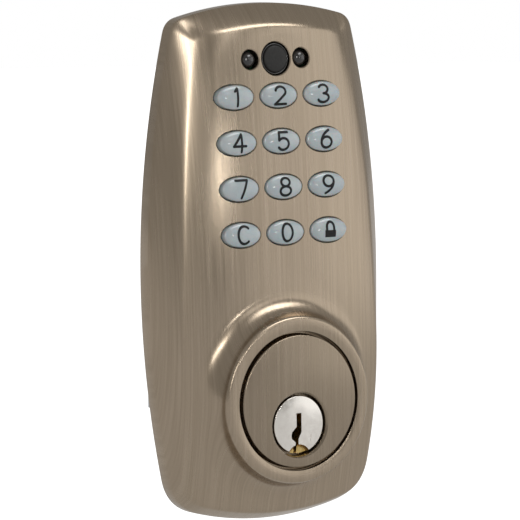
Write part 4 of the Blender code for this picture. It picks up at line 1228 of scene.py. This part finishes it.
# %% The plug's body and its cuts
CLIP_FRONT = -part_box("retaining_clip")[0].y
CLIP_BACK = -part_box("retaining_clip")[1].y
GROOVE = PLUG_RADIUS - 1.0 * MM
plug_back = CLIP_BACK - GAP - 0.4 * MM
plug = turned(
    "plug_face",
    [
        (0, PLUG_FACE),
        (PLUG_HEAD_RADIUS, PLUG_FACE),
        (PLUG_HEAD_RADIUS, HEAD_BACK),
        (PLUG_RADIUS, HEAD_BACK),
        (PLUG_RADIUS, CLIP_FRONT + 0.2 * MM),
        (GROOVE, CLIP_FRONT + 0.2 * MM),
        (GROOVE, CLIP_BACK - GAP),
        (PLUG_RADIUS - 0.3 * MM, CLIP_BACK - GAP),
        (PLUG_RADIUS - 0.3 * MM, plug_back),
        (0, plug_back),
    ],
    steps=128,
)
soften(plug, 0.3 * MM, segments=4)
KEYWAY = (
    (-0.65, -0.5), (-1.1, -0.9), (-2.0, -1.8), (-2.2, -2.7), (-2.05, -3.5), (-1.4, -4.0),
    (-1.0, -4.4), (-1.0, -9.0), (-0.1, -9.0), (-0.1, -3.7), (0.3, -2.8), (0.8, -1.9),
    (0.8, 2.9), (-0.65, 2.9),
)
keyway = prism(
    "keyway", [(x * MM, y * MM) for x, y in KEYWAY], -8.0 * MM, PLUG_FACE + REACH
)
cut(plug, keyway)
SCALLOP = 3.5 * MM
SCALLOP_SPOT = Vector((0, -PLUG_HEAD_RADIUS - 1.2 * MM, 0))
scallop = turned(
    "scallop",
    [(0, PLUG_FACE - 1.2 * MM), (SCALLOP - 0.9 * MM, PLUG_FACE - 1.1 * MM),
     (SCALLOP - 0.3 * MM, PLUG_FACE - 0.7 * MM), (SCALLOP, PLUG_FACE - 0.1 * MM),
     (SCALLOP, PLUG_FACE + REACH), (0, PLUG_FACE + REACH)],
    64,
)
cut(plug, put(scallop, Matrix.Translation(SCALLOP_SPOT)))
for depth in pin_spots:
    cut(plug, put(upright_pin(depth, 0, PLUG_RADIUS + REACH), Matrix.Identity(4)))
print("plug:", len(plug.data.polygons), "faces")

# %% The milled facet, the dog and the brass
facet = prism(
    "facet", [(0.2 * MM, -2.5 * MM), (3.7 * MM, -2.7 * MM), (3.4 * MM, -4.6 * MM), (-0.6 * MM, -4.4 * MM)],
    0, 2 * MM,
)
tilt = Matrix.Rotation(math.radians(14), 4, "Y")
pivot = Matrix.Translation((3.2 * MM, -5.0 * MM, PLUG_FACE))
cut(plug, put(facet, pivot @ tilt @ Matrix.Translation((-3.2 * MM, 5.0 * MM, 0))))

DOG_OUTER, DOG_INNER, DOG_HEIGHT = 5.2 * MM, 2.4 * MM, 2.2 * MM
DOG_START, DOG_SWEEP = 180 - 65 + math.degrees(GAP / DOG_OUTER), 130


def ring_point(radius):
    return lambda degrees: (
        radius * math.cos(math.radians(degrees)), radius * math.sin(math.radians(degrees))
    )


dog_outline = along(ring_point(DOG_OUTER), DOG_START, DOG_START + DOG_SWEEP, 20)
dog_outline += [ring_point(DOG_OUTER)(DOG_START + DOG_SWEEP)]
dog_outline += along(ring_point(DOG_INNER), DOG_START + DOG_SWEEP, DOG_START, 20)
dog_outline += [ring_point(DOG_INNER)(DOG_START)]
dog = prism("dog", dog_outline, plug_back - DOG_HEIGHT, plug_back + 0.2 * MM)
cut(plug, dog, "UNION")

plug.data.materials.append(chrome)
plug.data.materials.append(brass)
for face in plug.data.polygons:
    middle = face.center
    near_keyway = abs(middle.x) < 2.3 * MM and middle.y < 2.9 * MM and middle.z < PLUG_FACE - 0.15 * MM
    inside = middle.xy.length < PLUG_RADIUS - 0.2 * MM and middle.z < PLUG_FACE - 0.15 * MM
    in_scallop = (middle.xy - SCALLOP_SPOT.xy).length < SCALLOP and middle.z < PLUG_FACE - 0.05 * MM
    behind_head = middle.z < HEAD_BACK - 0.1 * MM
    if inside and near_keyway or in_scallop or behind_head:
        face.material_index = 1
put(plug, FRONT @ PLUG_SPOT)
dress(plug, chrome, "plug_body", "plug", slot="chrome")
print("brass faces:", sum(face.material_index for face in plug.data.polygons))

# %% [markdown]
# ## The parts that keep their CAD shape
#
# Pins, springs, screws, the clamp, the posts, the board and everything behind the shell
# already have the right shape. Their meshes are loose triangles, so a Weld modifier joins
# them, and on all but the pins and springs a small Bevel breaks their edges, as any real
# part's are, without moving the part. Each then takes its finish by the name of its slot.

# %% Finishes for the carried-over parts
BROKEN_EDGE = {
    "mounting_post": 0.18, "cylinder_clamp": 0.15, "tailpiece": 0.2, "tail_retainer": 0.12,
    "gasket": 0.2, "cable_grommet": 0.12, "microcontroller": 0.06, "cable_header": 0.08,
}
replaced = set()
for piece in bpy.data.objects:
    replaced.update(piece.get("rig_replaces", []))
kept = [name for name in sorted(frame["nodes"]) if name not in replaced]
for name in kept:
    piece = frame["nodes"][name]
    plain = piece.data.materials[0].name
    look = LOOKS[plain.removeprefix("cad_").split(".")[0]]
    for slot_number in range(len(piece.data.materials)):
        piece.data.materials[slot_number] = look
    for face in piece.data.polygons:
        face.use_smooth = True
    weld = piece.modifiers.new("weld", "WELD")
    weld.merge_threshold = 0.002 * MM
    if not name.startswith(("pin_spring", "driver_pin", "key_pin")):
        width = next((w for stem, w in BROKEN_EDGE.items() if name.startswith(stem)), 0.08)
        edges = piece.modifiers.new("broken edges", "BEVEL")
        edges.width = width * MM
        edges.segments = 2
        edges.limit_method = "ANGLE"
        edges.angle_limit = math.radians(35)
        edges.harden_normals = True
print("carried over:", len(kept), "nodes")

# %% [markdown]
# ## The set
#
# A pale floor well below the lock, a bright room, and five soft lights: a tall one at the
# front left, whose reflection draws the bright crease, one above, a broad one at the right,
# a weak one that lifts the upper face, and a small one that puts a dot on each key. A dark
# card in front of the lock gives the metal something dark to mirror, as in a product
# studio. The floor is two sheets: a bright one that only the camera sees, and a greyer one
# that lights the metal from below. The camera stands off to the left and a little above,
# with a long lens.

# %% Floor and room
FLOOR = PLATE_BOTTOM - 40 * MM


def floor_sheet(name, tone, glow):
    """A round paper floor; glow is light of its own, which keeps its far side pale."""
    bpy.ops.object.select_all(action="DESELECT")
    bpy.ops.mesh.primitive_circle_add(
        vertices=96, radius=3.0, fill_type="NGON", location=(0, 0, FLOOR)
    )
    paper_floor = bpy.context.object
    paper_floor.name = name
    paper = new_look(name)
    fibre = noise(paper, 60, detail=3)
    wear(paper, ramp(paper, fibre, [(0.3, (tone,) * 3), (0.7, (tone + 0.03,) * 3)]))
    shader = paper.node_tree.nodes["Principled BSDF"]
    shader.inputs["Emission Color"].default_value = (1, 1, 1, 1)
    shader.inputs["Emission Strength"].default_value = glow
    paper_floor.data.materials.append(paper)
    paper_floor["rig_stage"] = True
    return paper_floor


floor = floor_sheet("floor", 0.9, 0.7)
floor.visible_glossy = floor.visible_diffuse = False
bounce = floor_sheet("floor_bounce", 0.5, 0.4)
bounce.visible_camera = False

scene = bpy.context.scene
scene.view_settings.view_transform = "Standard"
scene.world = bpy.data.worlds.new("room")
scene.world.use_nodes = True
room = scene.world.node_tree
ROOM_LIGHT = 0.4
background = room.nodes["Background"]
background.inputs["Color"].default_value = (1.0, 0.985, 0.96, 1)
background.inputs["Strength"].default_value = ROOM_LIGHT
seen = room.nodes.new("ShaderNodeBackground")
seen.inputs["Color"].default_value = (1, 1, 1, 1)
choose = room.nodes.new("ShaderNodeMixShader")
ray = room.nodes.new("ShaderNodeLightPath")
room.links.new(ray.outputs["Is Camera Ray"], choose.inputs["Fac"])
room.links.new(background.outputs["Background"], choose.inputs[1])
room.links.new(seen.outputs["Background"], choose.inputs[2])
room.links.new(choose.outputs["Shader"], room.nodes["World Output"].inputs["Surface"])


# %% Soft lights
def soft_light(name, place, wide, high, power, colour=(1, 1, 1)):
    """An area light that looks at the lock."""
    lamp = bpy.data.lights.new(name, "AREA")
    lamp.shape, lamp.size, lamp.size_y = "RECTANGLE", wide, high
    lamp.energy, lamp.color = power, colour
    holder = bpy.data.objects.new(name, lamp)
    bpy.context.scene.collection.objects.link(holder)
    aim = Vector((0, 0, 0.04)) - Vector(place)
    holder.location = place
    holder.rotation_euler = aim.to_track_quat("-Z", "Y").to_euler()
    return holder


soft_light("crease line", (-0.46, -1.07, 0.34), 0.10, 0.36, 1.7, (1, 0.99, 0.97))
soft_light("above", (0.35, -0.55, 0.80), 0.6, 0.3, 2.6)
soft_light("right", (1.02, -0.76, 0.20), 1.1, 0.9, 2.4)
soft_light("upper", (0.32, -1.10, 0.55), 0.35, 0.30, 0.4)
soft_light("dots", (0.19, -0.83, 0.12), 0.055, 0.055, 0.24)

bpy.ops.object.select_all(action="DESELECT")
bpy.ops.mesh.primitive_plane_add(size=0.27, location=(0.20, -0.96, 0.12))
card = bpy.context.object
card.name = "dark_card"
card.rotation_euler = (Vector((0, 0, 0.04)) - card.location).to_track_quat("-Z", "Y").to_euler()
card.visible_camera = card.visible_shadow = False
card_black = new_look("card_black")
flock = noise(card_black, 40)
wear(card_black, ramp(card_black, flock, [(0.3, (0.01, 0.01, 0.01)), (0.7, (0.02, 0.02, 0.02))]))
card.data.materials.append(card_black)
card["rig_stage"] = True
print("five soft lights and a dark card")

# %% The camera
CAMERA_PLACE = Vector((-618.2, -980.4, 142.4)) * MM
YAW, PITCH, ROLL = (math.radians(angle) for angle in (32.29, -5.35, -0.63))
ahead = Vector((math.sin(YAW) * math.cos(PITCH), math.cos(YAW) * math.cos(PITCH), math.sin(PITCH)))
right = ahead.cross(Vector((0, 0, 1))).normalized()
up = right.cross(ahead)
rolled_right = right * math.cos(ROLL) + up * math.sin(ROLL)
rolled_up = up * math.cos(ROLL) - right * math.sin(ROLL)
turned_to = Matrix((rolled_right, rolled_up, -ahead)).transposed().to_4x4()
lens_data = bpy.data.cameras.new("camera")
lens_data.sensor_width = 36.0
lens_data.lens = 319.5
lens_data.clip_start = 0.05
camera = bpy.data.objects.new("camera", lens_data)
camera.matrix_world = Matrix.Translation(CAMERA_PLACE) @ turned_to
scene.collection.objects.link(camera)
scene.camera = camera
print("camera at", [round(value, 3) for value in CAMERA_PLACE])

# %% [markdown]
# ## Measure and finish
#
# The dressed model has to stay inside the CAD model's box, so its own box is measured and
# printed.

# %% The dressed model's box
low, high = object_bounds()
print("dressed box, mm:", [round(side / MM, 1) for side in high - low])
